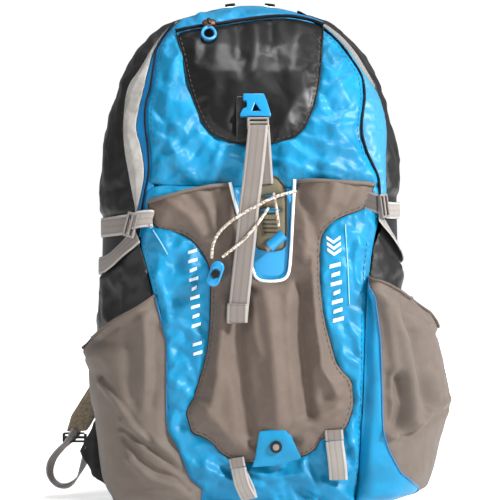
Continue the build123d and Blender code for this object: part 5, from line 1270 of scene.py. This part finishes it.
# ------------------------------------------------------------------ studio
def emit(name, color, strength):
    m = bpy.data.materials.new(name); m.use_nodes = True
    nt = m.node_tree; nt.nodes.clear()
    e = nt.nodes.new("ShaderNodeEmission"); e.inputs["Color"].default_value = (*color, 1); e.inputs["Strength"].default_value = strength
    o = nt.nodes.new("ShaderNodeOutputMaterial"); nt.links.new(e.outputs[0], o.inputs["Surface"])
    return m


fm_ = bpy.data.materials.new("floor_white"); fm_.use_nodes = True
fb = fm_.node_tree.nodes["Principled BSDF"]
fb.inputs["Base Color"].default_value = (0.86, 0.86, 0.86, 1)
fb.inputs["Roughness"].default_value = 0.9
fb.inputs["Specular IOR Level"].default_value = 0.0
fb.inputs["Emission Color"].default_value = (1, 1, 1, 1)
ft = fm_.node_tree
fc = ft.nodes.new("ShaderNodeTexCoord"); fl2 = ft.nodes.new("ShaderNodeVectorMath"); fl2.operation = "LENGTH"
fr = ft.nodes.new("ShaderNodeMapRange"); fr.inputs["From Min"].default_value = 0.3; fr.inputs["From Max"].default_value = 2.2
fr.inputs["To Min"].default_value = 0.42; fr.inputs["To Max"].default_value = 0.98
ft.links.new(fc.outputs["Object"], fl2.inputs[0]); ft.links.new(fl2.outputs["Value"], fr.inputs["Value"]); ft.links.new(fr.outputs["Result"], fb.inputs["Emission Strength"])
floor = new_obj("floor", [(-9000, -9000, -1), (9000, -9000, -1), (9000, 9000, -1), (-9000, 9000, -1)], [(0, 1, 2, 3)], fm_, None, smooth=False)
w = bpy.data.worlds.new("studio") if not bpy.context.scene.world else bpy.context.scene.world
bpy.context.scene.world = w
w.use_nodes = True
wn = w.node_tree
bg = wn.nodes["Background"]
bg.inputs["Strength"].default_value = 1.0
wt = wn.nodes.new("ShaderNodeTexCoord")
ws_ = wn.nodes.new("ShaderNodeSeparateXYZ")
wr_ = wn.nodes.new("ShaderNodeValToRGB")
wm_ = wn.nodes.new("ShaderNodeMapRange")
wm_.inputs["From Min"].default_value = 0.70; wm_.inputs["From Max"].default_value = 0.95
wn.links.new(wt.outputs["Generated"], ws_.inputs["Vector"])
wn.links.new(ws_.outputs["Y"], wm_.inputs["Value"])
wn.links.new(wm_.outputs["Result"], wr_.inputs["Fac"])
wr_.color_ramp.elements[0].color = (0.29, 0.29, 0.30, 1)
wr_.color_ramp.elements[1].color = (0.46, 0.46, 0.47, 1)
wl_ = wn.nodes.new("ShaderNodeLightPath")
wx_ = wn.nodes.new("ShaderNodeMix"); wx_.data_type = "RGBA"
wx_.inputs[7].default_value = (1.02, 1.02, 1.02, 1)
wn.links.new(wl_.outputs["Is Camera Ray"], wx_.inputs[0])
wn.links.new(wr_.outputs["Color"], wx_.inputs[6])
wn.links.new(wx_.outputs[2], bg.inputs["Color"])
vs = bpy.context.scene.view_settings
vs.view_transform = "Standard"
vs.look = "None"


def area(name, loc, target, size, power):
    l = bpy.data.lights.new(name, "AREA"); l.shape = "DISK"; l.size = size; l.energy = power
    o = bpy.data.objects.new(name, l); coll.objects.link(o); o.location = loc
    o.rotation_euler = (Vector(target) - Vector(loc)).to_track_quat("-Z", "Y").to_euler()


area("key", (2.0, -1.4, 1.6), (0, 0, 0.28), 0.4, 134)
area("fill", (-1.8, -2.0, 0.9), (0, 0, 0.3), 0.9, 10)
area("top", (0.2, -0.2, 2.5), (0, 0, 0.3), 0.7, 30)
area("rear", (0.0, 2.4, 0.32), (0, 0, 0.28), 0.34, 46)

cam = bpy.data.cameras.new("cam")
cam.sensor_width = 36; cam.lens = 122.8
co = bpy.data.objects.new("cam", cam); coll.objects.link(co)
co.location = (0, -1.8, 0.275)
co.rotation_euler = (math.pi / 2, 0, 0)
bpy.context.scene.camera = co
